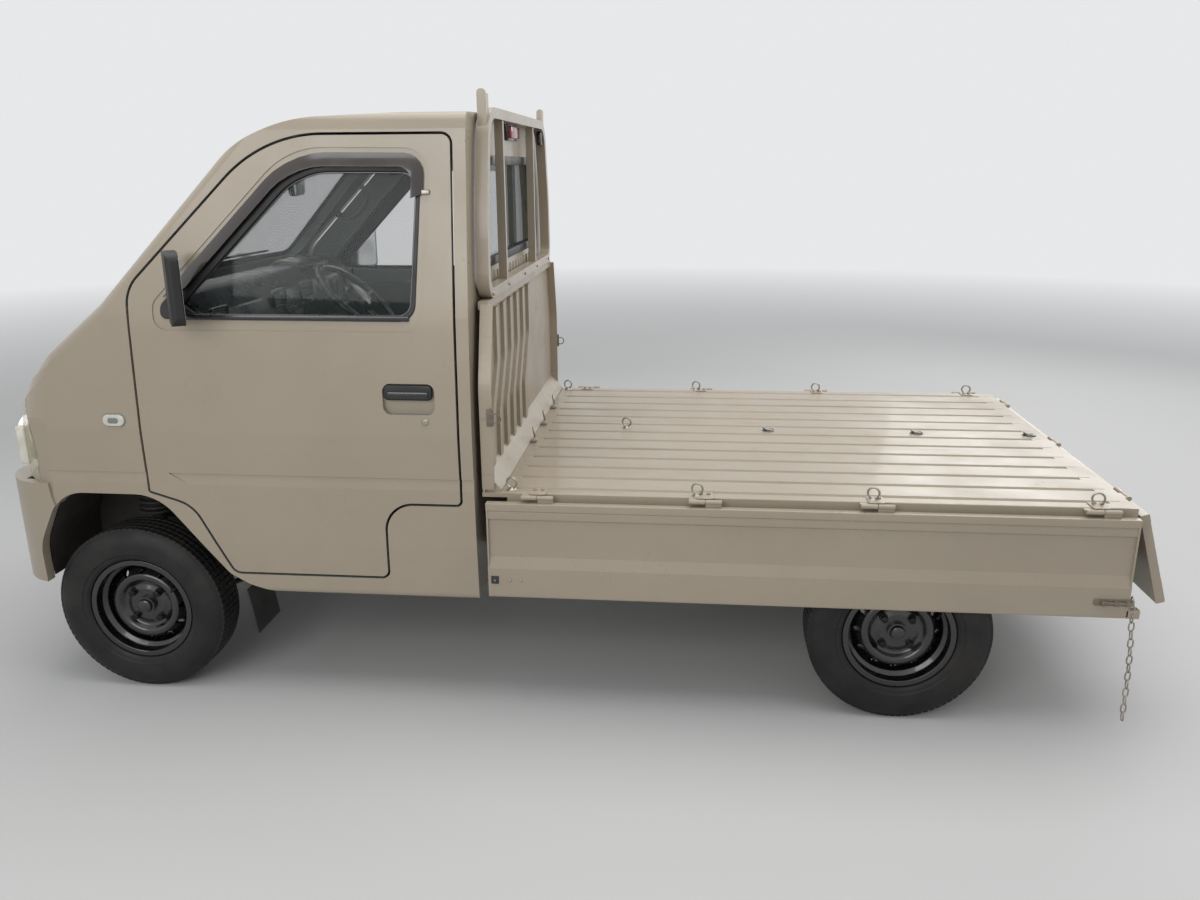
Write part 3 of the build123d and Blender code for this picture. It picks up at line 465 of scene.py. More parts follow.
PAINT = PaintFinish("beige_coachwork", BEIGE)
CAB_PAINT = PaintFinish("beige_cab_and_grey_inside", BEIGE, inner=INNER_GREY)
# The bed's paint is the body beige made 4% lighter, a lit copy of the same paint: painted light. Its wear,
# rust and dust are real.
BED_PAINT_LIT = PaintFinish("beige_bed_paint_painted_lighter", shade(BEIGE, 1.04), 0.36, 0.25, 0.2, 0.4, 0.5)
INNER_PAINT = PaintFinish("grey_green_inner_paint", INNER_GREY, 0.45, 0.1, 0.1)
FRAME_PAINT = PaintFinish("black_frame_paint", screen(34, 33, 32), 0.55, 0.0, 0.9, rust=0.8)
WHEEL_PAINT = MetalFinish("gloss_black_wheel_paint", screen(16, 16, 17), 0.0, 0.24, 0.03, coat=0.8)
NUT_STEEL = MetalFinish("blackened_wheel_nuts", screen(40, 40, 42), 0.8, 0.35, 0.2)
RUBBER = MouldedFinish("tyre_rubber", screen(25, 25, 26), 0.6, 420, 0.0001, 0.3, 0.35)
SEAL = MouldedFinish("window_rubber", screen(14, 14, 15), 0.4, 900, 0.00006, 0.05)
VISOR = MouldedFinish("smoked_rain_visor", screen(46, 38, 32), 0.2, 1200, 0.00002, 0.15, 0.6, 0.7)
FLAP = MouldedFinish("mud_flap_rubber", screen(26, 26, 26), 0.7, dust=0.5)
BLACK_PLASTIC = MouldedFinish("grained_black_plastic", screen(22, 22, 23), 0.45, dust=0.08)
GLOSS_BLACK = MouldedFinish("smooth_black_plastic", screen(14, 14, 15), 0.22, 1500, 0.00003, 0.03, 0.6, 0.5)
DASH_PLASTIC = MouldedFinish("dashboard_plastic", screen(22, 24, 26), 0.28, 1100, 0.00005, 0.04, 0.6, 0.35)
TRIM_GREY = MouldedFinish("grey_trim_plastic", screen(124, 132, 129), 0.5, 800, 0.0001, 0.08)
TRIM_BROWN = MouldedFinish("brown_grip_plastic", screen(92, 82, 74), 0.42, 800, 0.0001, 0.08)
DOOR_CARD = MouldedFinish("door_card_vinyl", screen(52, 54, 56), 0.55, 500, 0.0002, 0.1)
HEADLINER = MouldedFinish("headliner_board", screen(168, 166, 158), 0.8, 300, 0.0003, 0.1)
LINER_PLASTIC = MouldedFinish("arch_liner_plastic", screen(58, 55, 50), 0.75, 200, 0.0004, 0.9)
CAST = MetalFinish("dirty_cast_metal", screen(92, 90, 86), 0.6, 0.6, 0.5)
STEEL = MetalFinish("galvanised_steel", screen(168, 162, 150), 0.9, 0.34, 0.25)
FITTING = MetalFinish("worn_painted_fitting", screen(128, 118, 104), 0.2, 0.45, 0.45)
CHROME = MetalFinish("bright_plating", screen(205, 206, 205), 1.0, 0.12, 0.05)
RUSTY = MetalFinish("rusty_steel", screen(92, 80, 70), 0.8, 0.6, 0.9)
MIRROR = MetalFinish("mirror_glass", screen(225, 228, 230), 1.0, 0.1, 0.0)
REFLECTOR = MetalFinish("lamp_reflector", screen(214, 214, 208), 1.0, 0.16, 0.0)
GLASS = GlassFinish("window_glass")
LAMP_COVER = GlassFinish("headlamp_cover", screen(226, 216, 184), 0.05, 0.22, 0.75)
RED_LENS = LensFinish("red_lens", screen(168, 22, 20))
AMBER_LENS = LensFinish("amber_lens", screen(226, 120, 24))
CLEAR_LENS = LensFinish("clear_lens", screen(236, 232, 218), 0.8)
SEAT_VINYL = ClothFinish("seat_vinyl", screen(46, 47, 50), 0.5)
MAT = ClothFinish("floor_mat", screen(38, 38, 39), 0.85, 500)
BELT = ClothFinish("seat_belt_webbing", screen(26, 26, 28), 0.7, 1600)
DIAL = MouldedFinish("dial_face", screen(18, 18, 20), 0.5, 900, 0.00002, 0.0)
MARKING = MouldedFinish("white_dial_marks", screen(228, 228, 222), 0.5, 900, 0.00001, 0.0)

Finish = PaintFinish | MouldedFinish | MetalFinish | GlassFinish | ClothFinish | LensFinish

_MADE: dict[str, bpy.types.Material] = {}


def material(finish: Finish) -> bpy.types.Material:
    """The material of a finish, made once."""
    if finish.name not in _MADE:
        _MADE[finish.name] = finish.make()
    return _MADE[finish.name]


CAD_FINISHES: dict[Finish, str] = {
    PAINT: "front_panel wing_left wing_right front_bumper cowl guard_frame "
    "side_gate_left side_gate_right tailgate",
    CAB_PAINT: "cab_side_left cab_side_right cab_roof cab_back_wall door_left door_right",
    BED_PAINT_LIT: "bed_floor headboard bed_hinges bed_cross_members",
    INNER_PAINT: "cab_floor",
    FRAME_PAINT: "chassis_frame frame_rear_rails frame_cross_members front_suspension front_struts "
    "rear_axle rear_springs propeller_shaft fuel_tank rear_bar",
    CAST: "engine_block",
    STEEL: "tie_rings",
    RUSTY: "exhaust knuckle_left knuckle_right",
    WHEEL_PAINT: "rim_front_left rim_front_right rim_rear_left rim_rear_right",
    RUBBER: "tyre_front_left tyre_front_right tyre_rear_left tyre_rear_right",
    FLAP: "front_mud_flaps",
    BLACK_PLASTIC: "mirror_left mirror_right battery_box",
    LINER_PLASTIC: "arch_liners",
    DASH_PLASTIC: "dashboard",
    GLOSS_BLACK: "steering_wheel",
    SEAT_VINYL: "seat_cushions seat_backs",
    GLASS: "windscreen rear_window door_glass_left door_glass_right",
    LAMP_COVER: "headlamps",
    RED_LENS: "tail_lamps",
}


def dress_solids() -> None:
    """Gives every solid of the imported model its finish."""
    for finish, names in CAD_FINISHES.items():
        for name in names.split():
            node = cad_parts[name]
            for place in node.material_slots:
                place.material = material(finish)
            LOG.info("dressed %s with %s", name, finish.name)


# Parts: each function makes one form in a bmesh of its own, in millimetres


def oblong(left: float, low: float, right: float, high: float, radius: float) -> Rows:
    """Outline of a rectangle whose four corners share one radius."""
    return ((left, low, radius), (left, high, radius), (right, high, radius), (right, low, radius))


def outline(rows: Rows, drawing: Drawing, depth: float, steps: int = 5) -> bmesh.types.BMesh:
    """One flat face with rounded corners.

    Args:
        rows: Corners as u, v and fillet radius.
        drawing: The plane it is drawn in.
        depth: The face's place across that plane.
        steps: Segments in each rounded corner.

    Returns:
        A bmesh with that one face.
    """
    bm = bmesh.new()
    places = [drawing.point(u, v, depth) for u, v, _ in rows]
    corners = [bm.verts.new(place) for place in places]
    bm.faces.new(corners)
    for index, (corner, row) in enumerate(zip(corners, rows)):
        if row[2] > 0:
            back = places[index - 1] - places[index]
            ahead = places[(index + 1) % len(places)] - places[index]
            reach = row[2] / math.tan(back.angle(ahead) / 2)
            bmesh.ops.bevel(
                bm, geom=[corner], offset=reach, offset_type="OFFSET", affect="VERTICES",
                segments=steps, profile=0.5, material=-1,
            )
    return bm


def join(bm: bmesh.types.BMesh, part: bmesh.types.BMesh) -> bmesh.types.BMesh:
    """Adds a part to a bmesh and frees the part."""
    mesh = bpy.data.meshes.new("part")
    part.to_mesh(mesh)
    part.free()
    bm.from_mesh(mesh)
    bpy.data.meshes.remove(mesh)
    return bm


def soften(bm: bmesh.types.BMesh, width: float, steps: int = 2, limit: float = 35.0) -> bmesh.types.BMesh:
    """Bevels every edge that is sharper than a limit in degrees."""
    bmesh.ops.recalc_face_normals(bm, faces=bm.faces[:])
    sharp = [e for e in bm.edges if e.is_manifold and e.calc_face_angle() > math.radians(limit)]
    bmesh.ops.bevel(
        bm, geom=sharp, offset=width, offset_type="OFFSET", affect="EDGES", segments=steps,
        profile=0.5, material=-1, clamp_overlap=True,
    )
    return bm


def thicken(bm: bmesh.types.BMesh, shift: Vector) -> bmesh.types.BMesh:
    """Extrudes all faces of a flat sheet by a shift."""
    grown = bmesh.ops.extrude_face_region(bm, geom=bm.faces[:])
    moved = [g for g in grown["geom"] if isinstance(g, bmesh.types.BMVert)]
    bmesh.ops.translate(bm, verts=moved, vec=shift)
    return bm


def plate(
    rows: Rows, drawing: Drawing, low: float, high: float, bevel: float = 0.0, steps: int = 2
) -> bmesh.types.BMesh:
    """A flat plate with a rounded outline and bevelled edges, between two depths."""
    bm = thicken(outline(rows, drawing, low), drawing.point(0, 0, high - low))
    return soften(bm, bevel, steps) if bevel else bm


def rim(
    outer: Rows, inner: Rows, drawing: Drawing, low: float, high: float, bevel: float = 0.0,
    rise: float = 0.0,
) -> bmesh.types.BMesh:
    """A frame between two outlines, such as a window's rubber.

    Args:
        outer: The outer outline, with as many rows as the inner one.
        inner: The inner outline.
        drawing: The plane both are drawn in.
        low: Depth of the frame's back at the outer outline.
        high: Depth of its front there.
        bevel: Width of the bevel on its edges.
        rise: How much higher the inner outline lies.

    Returns:
        The frame's bmesh.
    """
    bm = join(outline(outer, drawing, low), outline(inner, drawing, low + rise))
    edges = bm.edges[:]
    bmesh.ops.delete(bm, geom=bm.faces[:], context="FACES_ONLY")
    bmesh.ops.bridge_loops(bm, edges=edges)
    thicken(bm, drawing.point(0, 0, high - low))
    return soften(bm, bevel) if bevel else bm


def block(low: Point, high: Point, bevel: float = 0.0, steps: int = 2) -> bmesh.types.BMesh:
    """A box between two corners, with bevelled edges."""
    bm = bmesh.new()
    middle = (Vector(low) + Vector(high)) / 2
    size = Vector(high) - Vector(low)
    bmesh.ops.create_cube(bm, size=1.0, matrix=Matrix.Translation(middle) @ Matrix.Diagonal((*size, 1.0)))
    return soften(bm, bevel, steps) if bevel else bm


def rod(
    start: Point, end: Point, radius: float, end_radius: float | None = None, sides: int = 20,
    bevel: float = 0.0,
) -> bmesh.types.BMesh:
    """A round bar or cone between two points."""
    bm = bmesh.new()
    run = Vector(end) - Vector(start)
    turn = run.to_track_quat("Z", "Y").to_matrix().to_4x4()
    place = Matrix.Translation((Vector(start) + Vector(end)) / 2) @ turn
    last = radius if end_radius is None else end_radius
    bmesh.ops.create_cone(
        bm, cap_ends=True, segments=sides, radius1=radius, radius2=last, depth=run.length, matrix=place
    )
    return soften(bm, bevel) if bevel else bm


def lathe(
    profile: Sequence[tuple[float, float]], centre: Point, axis: Point, steps: int = 32,
    closed: bool = False,
) -> bmesh.types.BMesh:
    """A turned form.

    Args:
        profile: Points as radius and distance along the axis.
        centre: The axis's foot.
        axis: The axis's direction.
        steps: Segments round the axis.
        closed: Joins the last point to the first, for a hollow ring.

    Returns:
        The turned bmesh.
    """
    bm = bmesh.new()
    along = Vector(axis).normalized()
    outward = along.orthogonal().normalized()
    verts = [bm.verts.new(Vector(centre) + outward * radius + along * reach) for radius, reach in profile]
    edges = [bm.edges.new(ends) for ends in zip(verts, verts[1:])]
    if closed:
        edges.append(bm.edges.new((verts[-1], verts[0])))
    bmesh.ops.spin(
        bm, geom=verts + edges, cent=centre, axis=along, dvec=(0, 0, 0), angle=math.tau, steps=steps,
        use_merge=True, use_duplicate=False,
    )
    bmesh.ops.remove_doubles(bm, verts=bm.verts[:], dist=0.01)
    return bm


def hoop(
    centre: Point, radius: float, wire: float, normal: Point, steps: int = 32, sides: int = 8
) -> bmesh.types.BMesh:
    """A round ring of wire."""
    turns = [index * math.tau / sides for index in range(sides)]
    profile = [(radius + wire * math.cos(t), wire * math.sin(t)) for t in turns]
    return lathe(profile, centre, normal, steps, closed=True)


def tube(
    points: Sequence[Point], radius: float, closed: bool = False, smooth: int = 8, flat: float = 1.0
) -> bmesh.types.BMesh:
    """A round bar bent smoothly along points.

    Args:
        points: Control points of the bar's line.
        radius: The bar's radius.
        closed: Whether the line closes on itself.
        smooth: Steps between two control points.
        flat: Scales the bar's height, for a flattened section.

    Returns:
        The bar's bmesh.
    """
    curve = bpy.data.curves.new("bar_line", "CURVE")
    curve.dimensions = "3D"
    spline = curve.splines.new("NURBS")
    spline.points.add(len(points) - 1)
    for control, place in zip(spline.points, points):
        control.co = (*place, 1.0)
    spline.order_u = 3
    spline.use_endpoint_u = not closed
    spline.use_cyclic_u = closed
    spline.resolution_u = smooth
    curve.bevel_depth = radius
    curve.bevel_resolution = 2
    curve.use_fill_caps = True
    holder = bpy.data.objects.new("bar_line", curve)
    mesh = bpy.data.meshes.new_from_object(holder)
    bm = bmesh.new()
    bm.from_mesh(mesh)
    bpy.data.objects.remove(holder)
    bpy.data.meshes.remove(mesh)
    bpy.data.curves.remove(curve)
    if flat != 1.0:
        centre = sum((v.co for v in bm.verts), Vector()) / len(bm.verts)
        bmesh.ops.scale(bm, vec=(1, 1, flat), space=Matrix.Translation(-centre), verts=bm.verts[:])
    return bm


class Surface:
    """The outside of some solids, for laying trim on them."""

    def __init__(self, names: str) -> None:
        """Reads the named solids' meshes."""
        bm = bmesh.new()
        for name in names.split():
            bm.from_mesh(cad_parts[name].data)
        self.tree = BVHTree.FromBMesh(bm)
        bm.free()

    def touch(self, place: Vector, outward: Vector) -> Vector:
        """The outermost point of the surface below a place.

        Args:
            place: A point in millimetres; only its place across outward counts.
            outward: Unit vector away from the surface.

        Returns:
            The point on the surface in millimetres.
        """
        metres = (place - Vector((ORIGIN_STATION, 0, 0))) * MM
        flat = metres - outward * metres.dot(outward)
        level = self.level(flat, outward)
        if level is None:
            level = self.tree.find_nearest(metres)[0].dot(outward)
        hit = flat + outward * level
        return hit / MM + Vector((ORIGIN_STATION, 0, 0))

    def level(self, flat: Vector, outward: Vector) -> float | None:
        """How far out the surface lies, bridging narrow gaps between the solids.

        Args:
            flat: A place across outward, in metres.
            outward: Unit vector away from the surface.

        Returns:
            The distance along outward in metres, or None where there is no surface.
        """
        direct = self.cast(flat, outward)
        sideways = (outward.yzx, outward.zxy)
        for step in GAP_STEPS:
            means = []
            for way in sideways:
                pair = [self.cast(flat + way * step * sign, outward) for sign in (-1, 1)]
                if None not in pair and abs(pair[0] - pair[1]) < step * STEEPEST:
                    means.append(sum(pair) / 2)
            if direct is not None and (not means or direct > max(means) - GAP_DEPTH):
                return direct
            if means:
                return max(means)
        return direct

    def cast(self, flat: Vector, outward: Vector) -> float | None:
        """How far out a ray from outside meets the surface, if it does."""
        hit = self.tree.ray_cast(flat + outward * RAY_START, -outward)[0]
        return None if hit is None else hit.dot(outward)


class Piece:
    """One piece in the making: parts are added, shaped, then placed on a body."""

    def __init__(self, name: str, finish: Finish, body: Body = Body.TRUCK, sharp: float = 32.0) -> None:
        """Starts an empty piece.

        Args:
            name: The piece's name.
            finish: Its finish.
            body: The body it rides on.
            sharp: Edges sharper than this, in degrees, stay crisp.
        """
        self.name = name
        self.finish = finish
        self.body = body
        self.sharp = sharp
        self.bm = bmesh.new()

    def add(self, *parts: bmesh.types.BMesh) -> "Piece":
        """Adds finished parts."""
        for part in parts:
            join(self.bm, part)
        return self

    def on(self, side: Side) -> "Piece":
        """Turns a piece drawn on the left into the one for a side."""
        if side is Side.RIGHT:
            bmesh.ops.scale(self.bm, vec=(1, -1, 1), verts=self.bm.verts[:])
        return self

    def both_sides(self) -> "Piece":
        """Adds the mirror image on the truck's other side."""
        copy = self.bm.copy()
        bmesh.ops.scale(copy, vec=(1, -1, 1), verts=copy.verts[:])
        join(self.bm, copy)
        return self

    def turn(self, angle: float, axis: Point, centre: Point) -> "Piece":
        """Turns the piece by degrees about an axis through a point."""
        spin = Matrix.Rotation(math.radians(angle), 4, Vector(axis))
        about = Matrix.Translation(-Vector(centre))
        bmesh.ops.transform(self.bm, matrix=spin, space=about, verts=self.bm.verts[:])
        return self

    def slice(self, axis: int, pitch: float) -> "Piece":
        """Cuts all faces at even places along an axis, so that they can bend."""
        values = [v.co[axis] for v in self.bm.verts]
        across = Vector([1.0 if index == axis else 0.0 for index in range(3)])
        for step in range(1, int((max(values) - min(values)) / pitch) + 1):
            place = across * (min(values) + step * pitch)
            geometry = self.bm.verts[:] + self.bm.edges[:] + self.bm.faces[:]
            bmesh.ops.bisect_plane(self.bm, geom=geometry, dist=0.001, plane_co=place, plane_no=across)
        return self

    def cut(self, place: Point, away: Point) -> "Piece":
        """Cuts off what lies behind a plane and closes the cut."""
        geometry = self.bm.verts[:] + self.bm.edges[:] + self.bm.faces[:]
        made = bmesh.ops.bisect_plane(
            self.bm, geom=geometry, dist=0.001, plane_co=place, plane_no=away, clear_inner=True
        )
        edges = [g for g in made["geom_cut"] if isinstance(g, bmesh.types.BMEdge)]
        bmesh.ops.holes_fill(self.bm, edges=edges)
        return self

    def move(self, shift: Point) -> "Piece":
        """Moves the piece."""
        bmesh.ops.translate(self.bm, vec=shift, verts=self.bm.verts[:])
        return self

    def shape(self, change: Callable[[Vector], Vector]) -> "Piece":
        """Moves every point by a rule."""
        for vert in self.bm.verts:
            vert.co = change(vert.co)
        return self

    def drape(self, surface: Surface, outward: Point) -> "Piece":
        """Lays a flat piece on a surface: its depth becomes its height above that surface."""
        away = Vector(outward)
        axis = max(range(3), key=lambda index: abs(away[index]))
        for vert in self.bm.verts:
            lift = vert.co[axis]
            vert.co = surface.touch(vert.co, away) + away * lift
        return self

    def place(self) -> bpy.types.Object:
        """Makes the piece's object and lets it ride on its body."""
        bm = self.bm
        bmesh.ops.remove_doubles(bm, verts=bm.verts[:], dist=0.005)
        bmesh.ops.recalc_face_normals(bm, faces=bm.faces[:])
        bmesh.ops.translate(bm, vec=(-ORIGIN_STATION, 0, 0), verts=bm.verts[:])
        bmesh.ops.scale(bm, vec=(MM, MM, MM), verts=bm.verts[:])
        mesh = bpy.data.meshes.new(self.name)
        bm.to_mesh(mesh)
        bm.free()
        mesh.shade_smooth()
        mesh.set_sharp_from_angle(angle=math.radians(self.sharp))
        mesh.materials.append(material(self.finish))
        made = bpy.data.objects.new(self.name, mesh)
        bpy.context.scene.collection.objects.link(made)
        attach(made, self.body.value)
        LOG.info("placed %s on %s", self.name, self.body.value)
        return made


# Sub-assemblies


SKIN_ROWS = [
    (351.0, 724.0), (520.0, 732.0), (865.0, 737.5), (1180.0, 722.0), (1712.0, 655.0), (1756.0, 640.0)
]


def skin(height: float) -> float:
    """Half-width of the cab's side at a height."""
    for (low, wide), (high, narrow) in zip(SKIN_ROWS, SKIN_ROWS[1:]):
        if height <= high:
            return wide + (narrow - wide) * (height - low) / (high - low)
    return SKIN_ROWS[-1][1]


def on_skin(place: Vector) -> Vector:
    """Lays a flat drawing on the cab's left side: its y becomes the height above the skin."""
    return Vector((place.x, -skin(place.z) - place.y, place.z))


@dataclass
class DoorTrim:
    """Window rubber, rain visor, handle, lock and inner trim of one door."""

    side: Side
    opening: Rows = (
        (620, 1197, 18), (620, 1235, 30), (1026, 1645, 230), (1396, 1641, 50), (1366, 1194, 50)
    )
    sight: Rows = ((684, 1207, 10), (684, 1236, 22), (1048, 1602, 190), (1383, 1600, 42), (1354, 1207, 38))
    visor_outer: Rows = (
        (611, 1190, 20), (611, 1238, 30), (1022, 1653, 238), (1405, 1649, 56), (1375, 1186, 56)
    )
    visor_inner: Rows = (
        (648, 1218, 8), (648, 1226, 12), (1034, 1616, 205), (1372, 1613, 36), (1344, 1218, 30)
    )
    grip: Rows = oblong(1266, 972, 1407, 1016, 13)
    lever: Rows = oblong(1276, 977, 1397, 997, 7)
    card: Rows = (
        (700, 660, 40), (700, 1150, 20), (1435, 1150, 20), (1445, 700, 50), (1230, 520, 60), (800, 520, 60)
    )
    lock: tuple[float, float] = (1384.0, 909.0)
    mirror_centre: Point = (716.0, -800.0, 1295.0)
    mirror_turn: float = 32.0

    def start(self, part: str, finish: Finish) -> Piece:
        """Starts one of this door's pieces."""
        return Piece(f"door_{self.side.word}_{part}", finish, self.side.door)

    def finish(self, piece: Piece) -> None:
        """Lays a flat drawing on the door's skin and places it."""
        piece.shape(on_skin).on(self.side).place()

    def build(self) -> None:
        """Makes all trim of the door."""
        self.window()
        self.handle()
        self.inside()
        self.mirror()

    def window(self) -> None:
        """Rubber round the glass, also laid over the shaded inner door frame as painted shade, belt strip
        and smoked rain visor.
        """
        # The black rubber band is partly real rubber and partly painted shade: it also covers the inner
        # door frame, which lies in shade.
        self.finish(
            self.start("window_rubber", SEAL).add(rim(self.opening, self.sight, Drawing.SIDE, -14, -1, 1.5))
        )
        lip_inner = ((690, 1212, 6), (690, 1238, 16), (1050, 1596, 184), (1377, 1594, 38), (1349, 1212, 34))
        self.finish(
            self.start("glass_channel", GLOSS_BLACK).add(
                rim(self.sight, lip_inner, Drawing.SIDE, -14, -8, 1)
            )
        )
        belt = plate(oblong(692, 1196, 1350, 1211, 3), Drawing.SIDE, -12, 3, 1.5)
        self.finish(self.start("belt_strip", GLOSS_BLACK).add(belt))
        visor = self.start("rain_visor", VISOR)
        visor.add(rim(self.visor_outer, self.visor_inner, Drawing.SIDE, 0.5, 2.5, 0.6, rise=15))
        visor.cut((640, 0, 1262), (-284, 0, 771))
        self.finish(visor)
        clip = block((1395, 1, 1540), (1417, 8, 1552), 1.5)
        self.finish(self.start("visor_clip", STEEL).add(clip))

    def handle(self) -> None:
        """Pull handle with its lever, and the key lock."""
        grip = self.start("handle", BLACK_PLASTIC).add(plate(self.grip, Drawing.SIDE, -12, 3, 4, 3))
        self.finish(grip)
        self.finish(self.start("handle_lever", GLOSS_BLACK).add(plate(self.lever, Drawing.SIDE, 1, 6, 2.2)))
        u, v = self.lock
        barrel = self.start("lock", STEEL)
        barrel.add(
            rod((u, -1, v), (u, 3, v), 11, 9, 24, 0.8), block((u - 1.2, 2.4, v - 5), (u + 1.2, 3.6, v + 5))
        )
        self.finish(barrel)

    def inside(self) -> None:
        """Trim card, armrest, window winder and release lever."""
        card = self.start("trim_card", DOOR_CARD).add(plate(self.card, Drawing.SIDE, -51, -44, 2.5))
        pocket = ((760, 700, 30), (760, 860, 30), (1180, 860, 30), (1180, 700, 60))
        card.add(plate(pocket, Drawing.SIDE, -58, -50, 3))
        card.slice(2, 40)
        self.finish(card)
        rest = self.start("armrest", BLACK_PLASTIC)
        rows = ((900, 930, 18), (900, 978, 18), (1240, 998, 18), (1240, 940, 18))
        rest.add(plate(rows, Drawing.SIDE, -92, -50, 8, 3))
        self.finish(rest)
        winder = self.start("winder", GLOSS_BLACK)
        winder.add(
            rod((860, -50, 900), (860, -66, 900), 22, 18, 24, 2),
            tube(((860, -64, 900), (900, -70, 878), (965, -66, 850)), 6),
        )
        winder.add(rod((965, -62, 850), (965, -92, 850), 9, 11, 16, 2))
        self.finish(winder)
        release = self.start("release_lever", CHROME)
        rows = ((780, 1040, 8), (780, 1062, 8), (852, 1058, 8), (852, 1044, 6))
        release.add(plate(rows, Drawing.SIDE, -62, -52, 3))
        self.finish(release)

    def mirror(self) -> None:
        """Glass of the outside mirror."""
        rows = oblong(-54, -92, 54, 92, 20)
        glass = self.start("mirror_glass", MIRROR).add(plate(rows, Drawing.FRONT, 17.6, 18.8, 0.5))
        glass.turn(self.mirror_turn, (0, 0, 1), (0, 0, 0)).move(self.mirror_centre).on(self.side).place()


@dataclass
class Tyre:
    """A tyre with raised tread blocks and stepped side walls, and the wheel's nuts and cap."""

    corner: str
    body: Body
    centre: Point
    outward: int
    radius: float = 271.0
    steps: int = 84
    block_height: float = 6.5
    nut_circle: float = 57.15

    def build(self) -> None:
        """Makes the tyre and the fittings in the wheel's middle."""
        self.carcass()
        self.fittings()

    def carcass(self) -> None:
        """Lathes the carcass, then raises the tread in blocks."""
        base = self.radius - self.block_height - 0.4
        wall = [
            (153.0, 45.5), (166.4, 51.2), (169.0, 60.5), (176.0, 66.0), (186.0, 68.4), (189.0, 71.2),
            (194.0, 71.6),
            (206.0, 72.4), (222.0, 72.2), (235.0, 70.4), (238.0, 68.6), (247.0, 66.8), (256.0, 61.5),
            (base - 1, 55.0),
        ]
        lanes = [(base, edge) for edge in (38.0, 34.0, 14.0, 10.0)]
        half = wall + lanes
        profile = half + [(r, -y) for r, y in reversed(half)]
        bm = lathe(profile, self.centre, (0, 1, 0), self.steps, closed=True)
        bmesh.ops.recalc_face_normals(bm, faces=bm.faces[:])
        bmesh.ops.inset_individual(
            bm, faces=[f for f in bm.faces if self.is_block(f)], thickness=1.4, depth=self.block_height,
            use_even_offset=True,
        )
        tyre = Piece(f"tyre_{self.corner}_tread", RUBBER, self.body, 24)
        made = tyre.add(bm).place()
        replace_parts(made, f"tyre_{self.corner}")

    def is_block(self, face: bmesh.types.BMFace) -> bool:
        """Whether a face of the bare tread becomes a block."""
        middle = face.calc_center_median() - Vector(self.centre)
        reach = math.hypot(middle.x, middle.z)
        lane = abs(middle.y)
        return reach > self.radius - self.block_height - 4 and not (34 < lane < 38 or 10 < lane < 14)

    def fittings(self) -> None:
        """Wheel nuts, dust cap and valve."""
        x, y, z = self.centre
        out = self.outward
        nuts = Piece(f"wheel_nuts_{self.corner}", NUT_STEEL, self.body)
        for index in range(4):
            angle = math.radians(45 + 90 * index)
            u, v = x + self.nut_circle * math.cos(angle), z + self.nut_circle * math.sin(angle)
            nuts.add(rod((u, y + out * 14, v), (u, y + out * 22, v), 15, 12, 24, 1))
            nuts.add(rod((u, y + out * 20, v), (u, y + out * 37, v), 11.5, 11.0, 6, 1.2))
        nuts.place()
        cap = Piece(f"hub_cap_{self.corner}", WHEEL_PAINT, self.body)
        rows = [(0, 46), (12, 45), (20, 41), (24, 34), (25, 20), (28, 18), (28, 12)]
        cap.add(lathe([(r, out * d) for r, d in rows], self.centre, (0, 1, 0), 32)).place()
        valve = Piece(f"valve_{self.corner}", RUBBER, self.body)
        place = (x + 118, y + out * 34, z + 70)
        tip = (x + 105, y + out * 58, z + 62)
        valve.add(rod(place, tip, 5, 4, 12, 0.8)).place()


